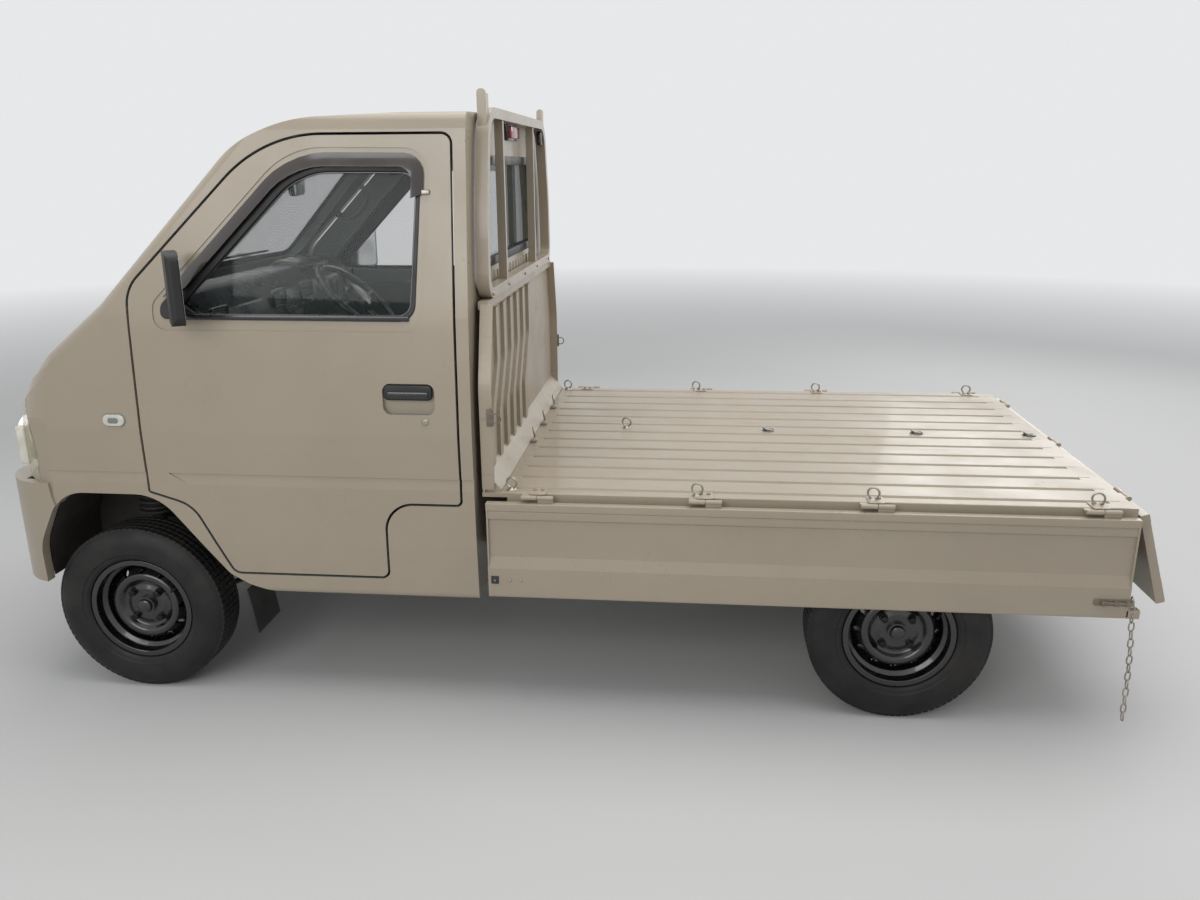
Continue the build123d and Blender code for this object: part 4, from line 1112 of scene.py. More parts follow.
@dataclass
class Glazing:
    """Windscreen and rear window rubbers, wipers and cowl grille."""

    screen: Rows = ((-612, 1262, 40), (612, 1262, 40), (545, 1640, 50), (-545, 1640, 50))
    screen_sight: Rows = ((-586, 1284, 26), (586, 1284, 26), (524, 1620, 36), (-524, 1620, 36))
    rear: Rows = ((-534, 1316, 66), (534, 1316, 66), (484, 1644, 72), (-484, 1644, 72))
    rear_sight: Rows = ((-506, 1344, 44), (506, 1344, 44), (456, 1616, 48), (-456, 1616, 48))
    rear_station: float = 1500.0
    nose: str = "windscreen cab_roof cowl wing_left wing_right front_panel cab_side_left cab_side_right"

    def build(self) -> None:
        """Makes rubbers, wipers and grille."""
        nose = Surface(self.nose)
        rubber = Piece("windscreen_rubber", SEAL).add(
            rim(self.screen, self.screen_sight, Drawing.FRONT, -2, 3.5, 1.2)
        )
        rubber.slice(1, 40).drape(nose, (-1, 0, 0)).place()
        outer, inner = self.rear, self.rear_sight
        ring = Piece("rear_window_rubber", SEAL)
        ring.add(rim(outer, inner, Drawing.FRONT, self.rear_station + 4, self.rear_station + 22, 4)).place()
        for name, pivot, reach in (("right", 480.0, 500.0), ("left", -60.0, 430.0)):
            self.wiper(name, pivot, reach, nose)
        self.grille(nose)

    def wiper(self, name: str, pivot: float, reach: float, nose: Surface) -> None:
        """One wiper, parked along the foot of the windscreen."""
        arm = Piece(f"wiper_arm_{name}", GLOSS_BLACK)
        tip = pivot - reach * 0.55
        rows = ((pivot + 14, 1236, 6), (pivot + 12, 1254, 6), (tip, 1304, 3), (tip, 1296, 3))
        arm.add(plate(rows, Drawing.FRONT, 12, 20, 1.5))
        arm.add(rod((24, pivot, 1244), (4, pivot, 1244), 11, 13, 20, 2))
        arm.slice(1, 30).drape(nose, (-1, 0, 0)).place()
        blade = Piece(f"wiper_blade_{name}", SEAL)
        low, high = pivot - reach, pivot - reach * 0.12
        blade.add(plate(oblong(low, 1290, high, 1299, 3), Drawing.FRONT, 1, 12, 1))
        blade.slice(1, 25).drape(nose, (-1, 0, 0)).place()

    def grille(self, nose: Surface) -> None:
        """Black plates for the air slots in the cowl below the windscreen, their dark insides painted
        shade, and two washer nozzles.
        """
        # Near-flush black plates stand in for the slot openings: the shade inside them is painted.
        slot_shades = Piece("cowl_slots_painted_shade", BLACK_PLASTIC)
        for index in range(-13, 14):
            y = index * 30.0
            slot_shades.add(plate(oblong(y - 10, 1240, y + 10, 1252, 3), Drawing.FRONT, -1, 1.2, 0.5))
        slot_shades.drape(nose, (-1, 0, 0)).place()
        nozzles = Piece("washer_nozzles", GLOSS_BLACK)
        for y in (-560.0, 300.0):
            nozzles.add(rod((-2, y, 1226), (10, y, 1226), 12, 7, 16, 2))
        nozzles.drape(nose, (-1, 0, 0)).place()


@dataclass
class Gate:
    """A hung gate panel with a top flange, a recessed field and a flush lower part."""

    thickness: float = 25.0
    drop: float = 15.0

    def section(self, height: float) -> Rows:
        """Section of the panel, u outwards being negative and v up."""
        half, top = self.thickness / 2, -self.drop
        low = top - height
        return (
            (half, top, 2), (-half, top, 2), (-half, top - 22, 2), (-half + 5, top - 26, 1),
            (-half + 3, top - 29, 1),
            (-half + 3, top - 48, 2), (-half + 9, top - 54, 2), (-half + 9, top - 168, 4),
            (-half, top - 203, 5),
            (-half, low + 5, 1.5), (-half + 2, low, 2), (half, low, 2),
        )

    def panel(self, length: float, height: float) -> bmesh.types.BMesh:
        """The panel with closed ends, x along it and the hinge line at the origin."""
        bm = plate(self.section(height), Drawing.FRONT, 0, length)
        half, top = self.thickness / 2, -self.drop
        low = top - height
        for start in (0.0, length - 6):
            join(bm, block((start + 0.4, 0.3 - half, low + 0.5), (start + 5.6, half - 0.5, top - 0.5), 1))
        return bm


@dataclass
class SideGate(Gate):
    """One side gate with its end fittings, latch and hanging chain."""

    side: Side = Side.LEFT
    front: float = 1552.0
    rear: float = 3380.0
    height: float = 295.0
    hinge_y: float = -730.0
    hinge_z: float = 687.0
    shift: float = -5.0
    hinges: tuple[float, ...] = (1702.0, 2188.0, 2672.0, 3283.0)
    chain_start: Point = (3387.0, -745.0, 430.0)
    chain_end: Point = (3408.0, -752.0, 70.0)
    link: tuple[float, float, float] = (15.0, 7.0, 2.2)

    def build(self) -> None:
        """Makes the gate, its fittings and the chain."""
        word, body = self.side.word, self.side.gate
        panel = Piece(f"gate_{word}_panel", PAINT, body).add(
            self.panel(self.rear - self.front, self.height)
        )
        low = -self.drop - self.height
        panel.add(
            block(
                (self.rear - self.front - 6, -12.5, low), (self.rear - self.front + 33, 12.5, low + 26), 2
            )
        )
        for station in self.hinges:
            start = station - self.front + 1
            panel.add(
                lathe(
                    ((4, start), (7, start), (7, start + 46), (4, start + 46)), (0, 5, 0), (1, 0, 0), 20,
                    closed=True,
                )
            )
            panel.add(block((start, 2, -16), (start + 46, 8, -6), 1))
        panel.move((self.front, self.hinge_y + self.shift, self.hinge_z)).on(self.side)
        made = panel.place()
        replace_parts(made, f"side_gate_{word}")
        self.fittings(body)
        if self.side is Side.LEFT:
            self.chain(body)

    def fittings(self, body: Body) -> None:
        """Black catch plate with rivets at the front, latch bar at the rear."""
        word = self.side.word
        face = self.hinge_y + self.shift - self.thickness / 2
        catch = Piece(f"gate_{word}_catch", GLOSS_BLACK, body)
        catch.add(block((1561, face - 2.5, 420), (1584, face + 1, 445), 1.2)).on(self.side).place()
        rivets = Piece(f"gate_{word}_rivets", STEEL, body)
        for x in (1618, 1651, 1572):
            rivets.add(rod((x, face + 1, 431), (x, face - 2.6, 431), 5, 3.4, 14, 0.8))
        rivets.on(self.side).place()
        latch = Piece(f"gate_{word}_latch", FITTING, body)
        latch.add(plate(oblong(3282, 416, 3392, 436, 5), Drawing.SIDE, face - 3.5, face, 1))
        latch.add(rod((3300, face - 8, 426), (3386, face - 8, 426), 4.5, bevel=0.8))
        for x in (3306, 3340, 3372):
            latch.add(block((x - 5, face - 13, 418), (x + 5, face - 1, 434), 1.5))
        latch.on(self.side).place()

    def chain(self, body: Body) -> None:
        """Steel chain that hangs from the latch, its links turned crosswise in turn."""
        start, end = Vector(self.chain_start), Vector(self.chain_end)
        length, width, wire = self.link
        pitch = 2 * (length - wire)
        count = int((end - start).length / (pitch - 2.0))
        chain = Piece("gate_left_chain", STEEL, body, 60)
        for index in range(count):
            part = index / (count - 1)
            middle = start.lerp(end, part) + Vector((6.0 * math.sin(math.pi * part), 0, 0))
            across = Vector((1, 0, 0)) if index % 2 else Vector((0, 1, 0))
            up = Vector((0, 0, length))
            side = across * width
            loop = [
                middle + up * 0.9, middle + up * 0.75 + side, middle - up * 0.75 + side, middle - up * 0.9,
                middle - up * 0.75 - side, middle + up * 0.75 - side,
            ]
            chain.add(tube(loop, wire, closed=True, smooth=3))
        chain.place()


@dataclass
class Tailgate(Gate):
    """Tailgate hanging on the rear bar's stops, with its end hooks."""

    half_width: float = 703.0
    height: float = 275.0
    lean: float = 17.0
    hinge: Point = (3400.0, 0.0, 687.0)
    hinges: tuple[float, ...] = (-560.0, 0.0, 560.0)

    def build(self) -> None:
        """Makes the panel with its barrels, and the hooks."""
        panel = Piece("tailgate_panel", PAINT, Body.TAILGATE).add(
            self.panel(2 * self.half_width, self.height)
        )
        for y in self.hinges:
            start = self.half_width + y + 1
            panel.add(
                lathe(
                    ((4, start), (7, start), (7, start + 46), (4, start + 46)), (0, 0, 0), (1, 0, 0), 20,
                    closed=True,
                )
            )
            panel.add(block((start, -3, -16), (start + 46, 3, -6), 1))
        self.hang(panel)
        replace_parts(panel.place(), "tailgate")
        hooks = Piece("tailgate_hooks", FITTING, Body.TAILGATE)
        for start in (8.0, 2 * self.half_width - 16):
            hooks.add(plate(oblong(start, -262, start + 8, -205, 3), Drawing.SIDE, -12, 12, 1))
            hooks.add(rod((start + 4, -12, -225), (start + 4, 12, -225), 6, bevel=1))
        self.hang(hooks)
        hooks.place()

    def hang(self, piece: Piece) -> None:
        """Turns a form drawn along the hinge line to the truck's rear and leans it out."""
        piece.move((-self.half_width, 0, 0)).turn(90, (0, 0, 1), (0, 0, 0))
        piece.turn(-self.lean, (0, 1, 0), (0, 0, 0)).move(self.hinge)


@dataclass
class BedFittings:
    """Hinge plates, ring cups, latch brackets and the rings at the headboard's foot."""

    floor: float = 692.0
    half: float = 705.0
    hinges: tuple[float, ...] = (1702.0, 2188.0, 2672.0, 3283.0)
    rings: Sequence[tuple[float, float]] = (
        (1618, -675), (2165, -690), (2665, -690), (3280, -690), (1618, 675), (2165, 690), (2665, 690),
        (3280, 690),
        (1911, 54.5),
    )
    cups: tuple[float, ...] = (2424.0, 2946.0, 3333.0)
    foot_rings: Sequence[Point] = ((1604, -154, 726), (1604, 83, 726), (1604, 337, 726))

    def build(self) -> None:
        """Makes all small steel on the bed."""
        plates = Piece("hinge_plates", BED_PAINT_LIT)
        bolts = Piece("hinge_bolts", STEEL)
        for station in self.hinges:
            rows = (
                (station - 24, -721, 4), (station - 24, -664, 5), (station + 22, -664, 5),
                (station + 22, -721, 4),
            )
            plates.add(plate(rows, Drawing.PLAN, self.floor + 0.2, self.floor + 3.6, 0.8))
            for x in (station - 12, station + 10):
                bolts.add(rod((x, -684, self.floor + 3), (x, -684, self.floor + 9), 6.5, 6.0, 6, 0.8))
        plates.both_sides().place()
        bolts.both_sides().place()
        feet = Piece("ring_feet", STEEL)
        for x, y in self.rings:
            feet.add(
                lathe(((0, 9), (6, 8.5), (9, 6), (14, 2.2), (15, 0.2)), (x, y, self.floor), (0, 0, 1), 20)
            )
        feet.place()
        cups = Piece("sunk_ring_cups", GLOSS_BLACK)
        loops = Piece("sunk_rings", STEEL, sharp=60)
        for x in self.cups:
            cups.add(
                lathe(
                    ((0, 1.2), (14, 1.4), (20, 3.6), (24, 0.6), (24, 0.1)), (x, 54.5, self.floor),
                    (0, 0, 1), 24,
                )
            )
            loops.add(hoop((x - 4, 54.5, self.floor + 6), 17, 3, (0.35, 0.1, 1)))
        cups.place()
        loops.place()
        self.foot()
        self.latches()

    def foot(self) -> None:
        """Rings on lugs at the foot of the headboard."""
        rings = Piece("headboard_foot_rings", STEEL, sharp=60)
        lugs = Piece("headboard_ring_lugs", BED_PAINT_LIT)
        for x, y, z in self.foot_rings:
            lugs.add(block((x - 14, y - 12, self.floor), (x + 10, y + 12, self.floor + 9), 2))
            rings.add(hoop((x - 2, y, z), 17, 3, (1, 0.25, 0.15)))
        rings.place()
        lugs.place()

    def latches(self) -> None:
        """Latch brackets for the gates on the headboard's posts."""
        for side, x, z in ((Side.LEFT, 1572.0, 918.0), (Side.RIGHT, 1572.0, 898.0)):
            bracket = Piece(f"gate_catch_{side.word}", FITTING)
            bracket.add(plate(oblong(x - 16, z - 26, x + 6, z + 26, 3), Drawing.SIDE, -707, -703, 1))
            bracket.add(
                block((x - 8, -709, z + 6), (x + 2, -704, z + 16), 1),
                block((x - 8, -709, z - 16), (x + 2, -704, z - 6), 1),
            )
            bracket.add(
                rod((x - 3, -706.5, z - 22), (x - 3, -706.5, z + 30), 2.6, bevel=0.6),
                hoop((x + 12, -707, z - 2), 14, 2, (0, 1, 0)),
            )
            bracket.on(side).place()


@dataclass
class GuardFittings:
    """Rubber pads, bolts and the high lamp behind the cab."""

    back: float = 1560.0
    lamp_station: float = 1518.0

    def build(self) -> None:
        """Makes the pads, bolts, the high lamp and the ribs of the back wall."""
        pads = Piece("guard_pads", GLOSS_BLACK)
        for low, high in ((-532.0, -478.0), (470.0, 520.0)):
            rows = ((low, 1690, 10), (low, 1738, 10), (high, 1742, 14), (high, 1684, 10))
            pads.add(plate(rows, Drawing.FRONT, self.back - 24, self.back - 6, 4))
        pads.place()
        bolts = Piece("guard_bolts", STEEL)
        for y in (-560.0, -306.0, 0.0, 268.0, 560.0):
            bolts.add(rod((self.back - 2, y, 1256), (self.back + 4, y, 1256), 7, 6.4, 6, 0.8))
        bolts.place()
        lamp = Piece("high_stop_lamp", RED_LENS)
        lamp.add(block((self.lamp_station, -77, 1700), (self.lamp_station + 22, 77, 1740), 5, 3)).place()
        shell = Piece("high_stop_lamp_shell", GLOSS_BLACK)
        shell.add(block((self.lamp_station - 2, -84, 1694), (self.lamp_station + 12, 84, 1746), 3)).place()
        ribs = Piece("back_wall_ribs", PAINT)
        for index in range(-7, 10):
            y = index * 55.0
            ribs.add(rod((self.lamp_station - 2, y, 1262), (self.lamp_station - 2, y, 1300), 6, 6, 12, 3))
        ribs.place()


@dataclass
class Lamps:
    """Headlamp insides, side markers and tail lamp lenses."""

    def build(self) -> None:
        """Makes every lamp's visible inside and lens."""
        for side in Side:
            self.headlamp(side)
            self.marker(side)
            self.tail(side)

    def headlamp(self, side: Side) -> None:
        """Reflector bowl, bulb shield and turn-signal chamber behind the clear cover."""
        bowl = Piece(f"headlamp_bowl_{side.word}", REFLECTOR)
        bowl.add(
            lathe(
                ((6, 84), (30, 80), (56, 62), (74, 34), (76, 30), (54, 58), (28, 76), (6, 79)),
                (48, -580, 800), (1, -0.1, 0.1), 36, closed=True,
            )
        )
        bowl.on(side).place()
        shield = Piece(f"headlamp_bulb_{side.word}", CHROME)
        shield.add(rod((112, -583, 802), (92, -583, 801), 9, 7, 20, 2)).on(side).place()
        signal = Piece(f"headlamp_signal_{side.word}", CLEAR_LENS)
        signal.add(block((92, -694, 742), (122, -672, 860), 6, 3)).on(side).place()

    def marker(self, side: Side) -> None:
        """Pale oval marker on the wing."""
        rows = oblong(411, 881, 478, 916, 17)
        lens = Piece(f"side_marker_{side.word}", CLEAR_LENS).add(plate(rows, Drawing.SIDE, -1, 7, 4, 4))
        lens.shape(on_skin).on(side).place()
        core = oblong(428, 890, 461, 907, 8)
        base = Piece(f"side_marker_base_{side.word}", TRIM_GREY)
        outer = oblong(408.5, 878.5, 480.5, 918.5, 19)
        base.add(plate(outer, Drawing.SIDE, -2, 1.5, 0.7), plate(core, Drawing.SIDE, 6.5, 7.6, 0.4))
        base.shape(on_skin).on(side).place()

    def tail(self, side: Side) -> None:
        """Amber and clear sections of the tail lamp."""
        for name, finish, low, high in (
            ("signal", AMBER_LENS, -498.0, -452.0), ("reverse", CLEAR_LENS, -450.0, -434.0)
        ):
            lens = Piece(f"tail_{name}_{side.word}", finish)
            lens.add(block((3394, low, 518), (3399.5, high, 578), 2, 3)).on(side).place()


@dataclass
class Dashboard:
    """Dashboard with its instrument hood, dials, vents, heater panel and glove box lid."""

    profile: Rows = (
        (430, 1150, 20), (446, 1238, 50), (560, 1262, 90), (650, 1262, 40), (712, 1196, 24),
        (726, 1120, 30),
        (722, 1010, 40), (640, 900, 40), (430, 900, 20),
    )
    half_width: float = 634.0
    hood: Rows = (
        (530, 1238, 30), (575, 1280, 30), (664, 1270, 12), (678, 1254, 6), (676, 1224, 8), (690, 1120, 4),
        (530, 1120, 4),
    )
    hood_sides: tuple[float, float] = (190.0, 475.0)
    dials: Sequence[tuple[float, float]] = ((262.0, 24.0), (335.0, 30.0), (408.0, 24.0))
    dial_z: float = 1160.0
    face: float = 718.0

    def build(self) -> None:
        """Makes the dashboard and all that sits on it."""
        body = Piece("dashboard_form", DASH_PLASTIC).add(
            plate(self.profile, Drawing.SIDE, -self.half_width, self.half_width, 16, 4)
        )
        low, high = self.hood_sides
        body.add(plate(self.hood, Drawing.SIDE, low, high, 9, 3))
        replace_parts(body.place(), "dashboard")
        self.instruments()
        self.vents()
        self.panel()

    def instruments(self) -> None:
        """Three round dials with their marks and needles."""
        rings = Piece("dial_rings", GLOSS_BLACK)
        faces = Piece("dial_faces", DIAL)
        marks = Piece("dial_marks", MARKING)
        needles = Piece("dial_needles", AMBER_LENS)
        for y, radius in self.dials:
            centre = (self.face - 8, y, self.dial_z)
            rings.add(
                lathe(
                    ((radius + 5, 0), (radius + 5, 15), (radius, 17), (radius - 3, 12), (radius - 3, 0)),
                    centre, (1, 0, 0), 36, closed=True,
                )
            )
            faces.add(lathe(((0, 10.4), (radius - 2, 10.4), (radius - 2, 8)), centre, (1, 0, 0), 36))
            for step in range(13):
                angle = math.radians(-120 + 20 * step)
                out = Vector((0, math.sin(angle), math.cos(angle)))
                base = Vector(centre) + Vector((10.8, 0, 0))
                marks.add(rod(base + out * (radius - 10), base + out * (radius - 5), 0.7, sides=6))
            tip = Vector(centre) + Vector((11.6, -0.6 * radius, -0.3 * radius))
            needles.add(rod(Vector(centre) + Vector((11.6, 0, 0)), tip, 1.4, 0.6, 8))
        for piece in (rings, faces, marks, needles):
            piece.place()

    def vents(self) -> None:
        """Slatted air vents at both ends and beside the middle."""
        frames = Piece("air_vent_frames", GLOSS_BLACK)
        slats = Piece("air_vent_slats", BLACK_PLASTIC)
        for y in (-570.0, -130.0, 110.0, 570.0):
            outer = oblong(y - 52, 1150, y + 52, 1214, 14)
            inner = oblong(y - 45, 1157, y + 45, 1207, 9)
            frames.add(rim(outer, inner, Drawing.FRONT, 716, 729, 2.5))
            for step in range(4):
                z = 1164 + 12 * step
                slats.add(block((717, y - 46, z), (725, y + 46, z + 3), 0.8))
        frames.place()
        slats.place()

    def panel(self) -> None:
        """Radio, heater knobs and glove box lid on the dashboard's face."""
        stack = Piece("centre_panel", GLOSS_BLACK)
        stack.add(plate(oblong(-86, 1030, 86, 1140, 10), Drawing.FRONT, 716, 733, 3, 3))
        stack.place()
        radio = Piece("radio_front", BLACK_PLASTIC)
        radio.add(plate(oblong(-80, 1082, 80, 1132, 4), Drawing.FRONT, 730, 736, 1.5))
        for y in (-64.0, 64.0):
            radio.add(rod((734, y, 1107), (748, y, 1107), 10, 9, 20, 1.5))
        radio.place()
        buttons = Piece("radio_buttons", TRIM_GREY)
        for step in range(6):
            y = -36 + 14.5 * step
            buttons.add(block((735, y - 5.5, 1090), (739, y + 5.5, 1098), 1))
        buttons.add(block((735, -36, 1106), (737, 36, 1124), 1)).place()
        knobs = Piece("heater_knobs", BLACK_PLASTIC)
        for y in (-56.0, 0.0, 56.0):
            knobs.add(
                rod((731, y, 1056), (748, y, 1056), 16, 13, 24, 2),
                block((747, y - 2.5, 1042), (753, y + 2.5, 1070), 1.5),
            )
        knobs.place()
        lid = Piece("glove_box_lid", DASH_PLASTIC)
        lid.add(plate(oblong(-500, 1000, -180, 1130, 18), Drawing.FRONT, 715, 731, 4, 3)).place()
        latch = Piece("glove_box_latch", GLOSS_BLACK)
        latch.add(block((729, -370, 1106), (737, -310, 1122), 3)).place()


@dataclass
class Controls:
    """Steering wheel boss, column shroud and stalks, levers, pedals and floor mats."""

    hub: Vector = field(default_factory=lambda: Vector((838.0, 330.0, 1120.0)))
    tilt: float = 48.0

    @property
    def column(self) -> Vector:
        """Direction of the steering column, towards the driver."""
        lean = math.radians(self.tilt)
        return Vector((math.cos(lean), 0.0, math.sin(lean)))

    def build(self) -> None:
        """Makes the controls."""
        boss = Piece("steering_boss", GLOSS_BLACK, Body.STEERING)
        rows = ((0, 34), (36, 33), (58, 26), (70, 14), (70, 2), (60, -12), (0, -14))
        boss.add(lathe(rows, self.hub, self.column, 40)).place()
        shroud = Piece("column_shroud", BLACK_PLASTIC)
        back, front = self.hub - self.column * 205, self.hub - self.column * 52
        shroud.add(rod(back, front, 52, 42, 28, 6)).place()
        stalks = Piece("column_stalks", GLOSS_BLACK)
        root = self.hub - self.column * 92
        for reach in (-150.0, 150.0):
            middle = root + Vector((8, reach * 0.6, 6))
            end = root + Vector((22, reach, 14))
            stalks.add(
                tube((root, middle, end), 5.5), rod(end - Vector((0, reach * 0.18, 0)), end, 9, 8, 16, 2)
            )
        stalks.place()
        self.levers()
        self.pedals()

    def levers(self) -> None:
        """Gear lever with its boot, and the handbrake."""
        boot = Piece("gear_boot", SEAT_VINYL)
        rows = ((70, 0), (62, 14), (50, 24), (46, 36), (34, 46), (31, 60), (18, 74), (16, 92), (0, 92))
        boot.add(lathe(rows, (905, 10, 745), (0.1, 0, 1), 28)).place()
        stick = Piece("gear_stick", CHROME)
        stick.add(tube(((912, 10, 830), (918, 10, 900), (905, 12, 985)), 5.5)).place()
        knob = Piece("gear_knob", GLOSS_BLACK)
        rows = ((0, 22), (12, 20), (20, 11), (22, 0), (17, -14), (9, -24), (0, -24))
        knob.add(lathe(rows, (903, 12, 1000), (0, 0, 1), 24)).place()
        brake = Piece("handbrake", BLACK_PLASTIC)
        brake.add(
            block((1180, -40, 742), (1330, 0, 790), 10, 3),
            tube(((1290, -20, 780), (1180, -20, 830), (1060, -20, 862)), 11),
        )
        brake.add(rod((1090, -20, 854), (1040, -20, 868), 15, 16, 20, 4)).place()

    def pedals(self) -> None:
        """Three hung pedals, and mats with raised edges."""
        pads = Piece("pedal_pads", RUBBER)
        arms = Piece("pedal_arms", FRAME_PAINT)
        for y, width in ((215.0, 34.0), (320.0, 34.0), (425.0, 22.0)):
            pads.add(plate(oblong(y - width, -34, y + width, 34, 8), Drawing.FRONT, 0, 10, 3))
            arms.add(tube(((560, y, 900), (548, y, 760), (590, y, 640)), 7))
        pads.turn(-35, (0, 1, 0), (0, 0, 0)).move((592, 0, 635)).place()
        arms.place()
        mats = Piece("floor_mats", MAT)
        for low, high in ((-560.0, -90.0), (120.0, 560.0)):
            rows = oblong(606, low, 832, high, 40)
            mats.add(plate(rows, Drawing.PLAN, 490, 497, 2))
            edge = oblong(616, low + 10, 822, high - 10, 32)
            mats.add(rim(rows, edge, Drawing.PLAN, 496, 502, 1.5))
        mats.place()


@dataclass
class CabTrim:
    """Roof liner, pillar handles, sun visors, rear-view mirror and belts."""

    loop: Sequence[Point] = (
        (855, -632, 1524), (884, -630, 1512), (880, -636, 1476), (797, -650, 1397), (756, -655, 1389),
        (752, -652, 1416),
    )
    bar: Sequence[Point] = (
        (776, 648, 1538), (804, 634, 1520), (808, 630, 1472), (716, 636, 1390), (672, 652, 1424)
    )

    def build(self) -> None:
        """Makes the trim under the roof and on the pillars."""
        liner = Piece("roof_liner", HEADLINER)
        rows = ((850, -560, 60), (850, 560, 60), (1470, 575, 40), (1470, -575, 40))
        liner.add(plate(rows, Drawing.PLAN, 1693, 1703, 4)).place()
        Piece("passenger_grab_loop", TRIM_BROWN).add(tube(self.loop, 9.5, closed=True)).place()
        Piece("driver_grab_bar", TRIM_GREY).add(tube(self.bar, 7.5)).place()
        feet = Piece("grab_bar_feet", GLOSS_BLACK)
        for x, y, z in (self.bar[0], self.bar[-1]):
            feet.add(rod((x, y - 4, z), (x, y + 14, z), 14, 12, 20, 2))
        feet.place()
        visors = Piece("sun_visors", HEADLINER)
        for side in (-1.0, 1.0):
            inner, outer = side * 90, side * 470
            rows = ((860, inner, 30), (860, outer, 40), (1010, outer, 40), (1010, inner, 30))
            visors.add(plate(rows, Drawing.PLAN, 1668, 1684, 7, 3))
        visors.place()
        shell = Piece("inner_mirror_shell", GLOSS_BLACK)
        shell.add(plate(oblong(-108, -38, 108, 38, 26), Drawing.FRONT, -20, 0, 6, 3))
        shell.turn(12, (0, 0, 1), (0, 0, 0)).move((800, -55, 1558))
        shell.add(tube(((790, -55, 1570), (800, -40, 1620), (836, -20, 1650)), 7)).place()
        glass = Piece("inner_mirror_glass", MIRROR)
        glass.add(plate(oblong(-100, -31, 100, 31, 22), Drawing.FRONT, -1, 1.2, 0.6))
        glass.turn(12, (0, 0, 1), (0, 0, 0)).move((800, -55, 1558)).place()
        belts = Piece("seat_belts", BELT)
        for side in (-1, 1):
            belts.add(block((1466, side * 560 - 24, 800), (1469, side * 560 + 24, 1450), 0.8))
        belts.place()
        guides = Piece("belt_guides", BLACK_PLASTIC)
        for side in (-1, 1):
            guides.add(block((1462, side * 560 - 36, 1440), (1482, side * 560 + 36, 1480), 6, 3))
        guides.place()


@dataclass
class Seats:
    """Two seats: pads swollen by a cloth simulation, with sewn channels."""

    cushion: Rows = ((916, 764, 20), (913, 850, 34), (1322, 866, 34), (1356, 764, 14))
    back: Rows = ((1352, 894, 24), (1396, 1290, 22), (1446, 1290, 22), (1436, 894, 16))
    low: float = 120.0
    high: float = 575.0
    voxel: float = 0.008
    pressure: float = 4.0
    steps: int = 20
    swell: float = 0.009
    channel: float = 0.006

    def build(self) -> None:
        for name, rows, node in (
            ("seat_cushion_pads", self.cushion, "seat_cushions"),
            ("seat_back_pads", self.back, "seat_backs"),
        ):
            pads = Piece(name, SEAT_VINYL, sharp=180)
            pads.add(plate(rows, Drawing.SIDE, self.low, self.high, 16, 4)).both_sides()
            made = pads.place()
            self.remesh(made)
            self.inflate(made)
            self.sew(made, name == "seat_cushion_pads")
            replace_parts(made, node)
            LOG.info("padded %s", name)
        self.frames()

    def keep(self, made: bpy.types.Object) -> None:
        """Makes the modifiers' result the object's mesh."""
        shaped = made.evaluated_get(bpy.context.evaluated_depsgraph_get())
        mesh = bpy.data.meshes.new_from_object(shaped)
        made.modifiers.clear()
        made.data = mesh

    def remesh(self, made: bpy.types.Object) -> None:
        """Gives a pad an even mesh."""
        even = made.modifiers.new("even_mesh", "REMESH")
        even.mode = "VOXEL"
        even.voxel_size = self.voxel
        even.use_smooth_shade = True
        self.keep(made)

    def inflate(self, made: bpy.types.Object) -> None:
        """Swells a pad under pressure and caps how far each point moves."""
        start = [vert.co.copy() for vert in made.data.vertices]
        cloth = made.modifiers.new("swell", "CLOTH")
        cloth.settings.use_pressure = True
        cloth.settings.uniform_pressure_force = self.pressure
        cloth.settings.effector_weights.gravity = 0.0
        cloth.point_cache.frame_start = 1
        cloth.point_cache.frame_end = self.steps
        for step in range(1, self.steps + 1):
            bpy.context.scene.frame_set(step)
        self.keep(made)
        bpy.context.scene.frame_set(1)
        for vert, old in zip(made.data.vertices, start):
            shift = vert.co - old
            if shift.length > self.swell:
                vert.co = old + shift.normalized() * self.swell

    def sew(self, made: bpy.types.Object, flat: bool) -> None:
        """Presses sewn channels into a pad's face and adds one subdivision."""
        smooth = made.modifiers.new("one_subdivision", "SUBSURF")
        smooth.levels = smooth.render_levels = 1
        self.keep(made)
        normals = [vert.normal.copy() for vert in made.data.vertices]
        for vert, normal in zip(made.data.vertices, normals):
            across = abs(vert.co.y) / MM - (self.low + self.high) / 2
            line = min(abs(across - place) for place in (-150.0, -52.0, 52.0, 150.0))
            depth = self.channel * math.exp(-(line / 9.0) ** 2) * max(0.0, normal.z if flat else -normal.x)
            edge = self.channel * 0.7 * math.exp(-(((abs(across) - 196.0) / 7.0) ** 2))
            vert.co -= normal * (depth + edge)
        made.data.shade_smooth()

    def frames(self) -> None:
        """Seat runners, hinges and belt buckles."""
        runners = Piece("seat_runners", FRAME_PAINT)
        hinges = Piece("seat_hinges", BLACK_PLASTIC)
        buckles = Piece("belt_buckles", BLACK_PLASTIC)
        hinge = ((1330, 790, 14), (1322, 880, 20), (1390, 960, 18), (1420, 940, 18), (1380, 790, 14))
        for side in (-1, 1):
            for y in (170.0, 520.0):
                middle = side * y
                runners.add(block((930, middle - 14, 742), (1340, middle + 14, 751), 2))
            for y in (106.0, 589.0):
                middle = side * y
                hinges.add(plate(hinge, Drawing.SIDE, middle - 3, middle + 3, 1.5))
            middle = side * 84.0
            buckles.add(block((1280, middle - 10, 742), (1300, middle + 10, 860), 5, 3))
        for piece in (runners, hinges, buckles):
            piece.place()


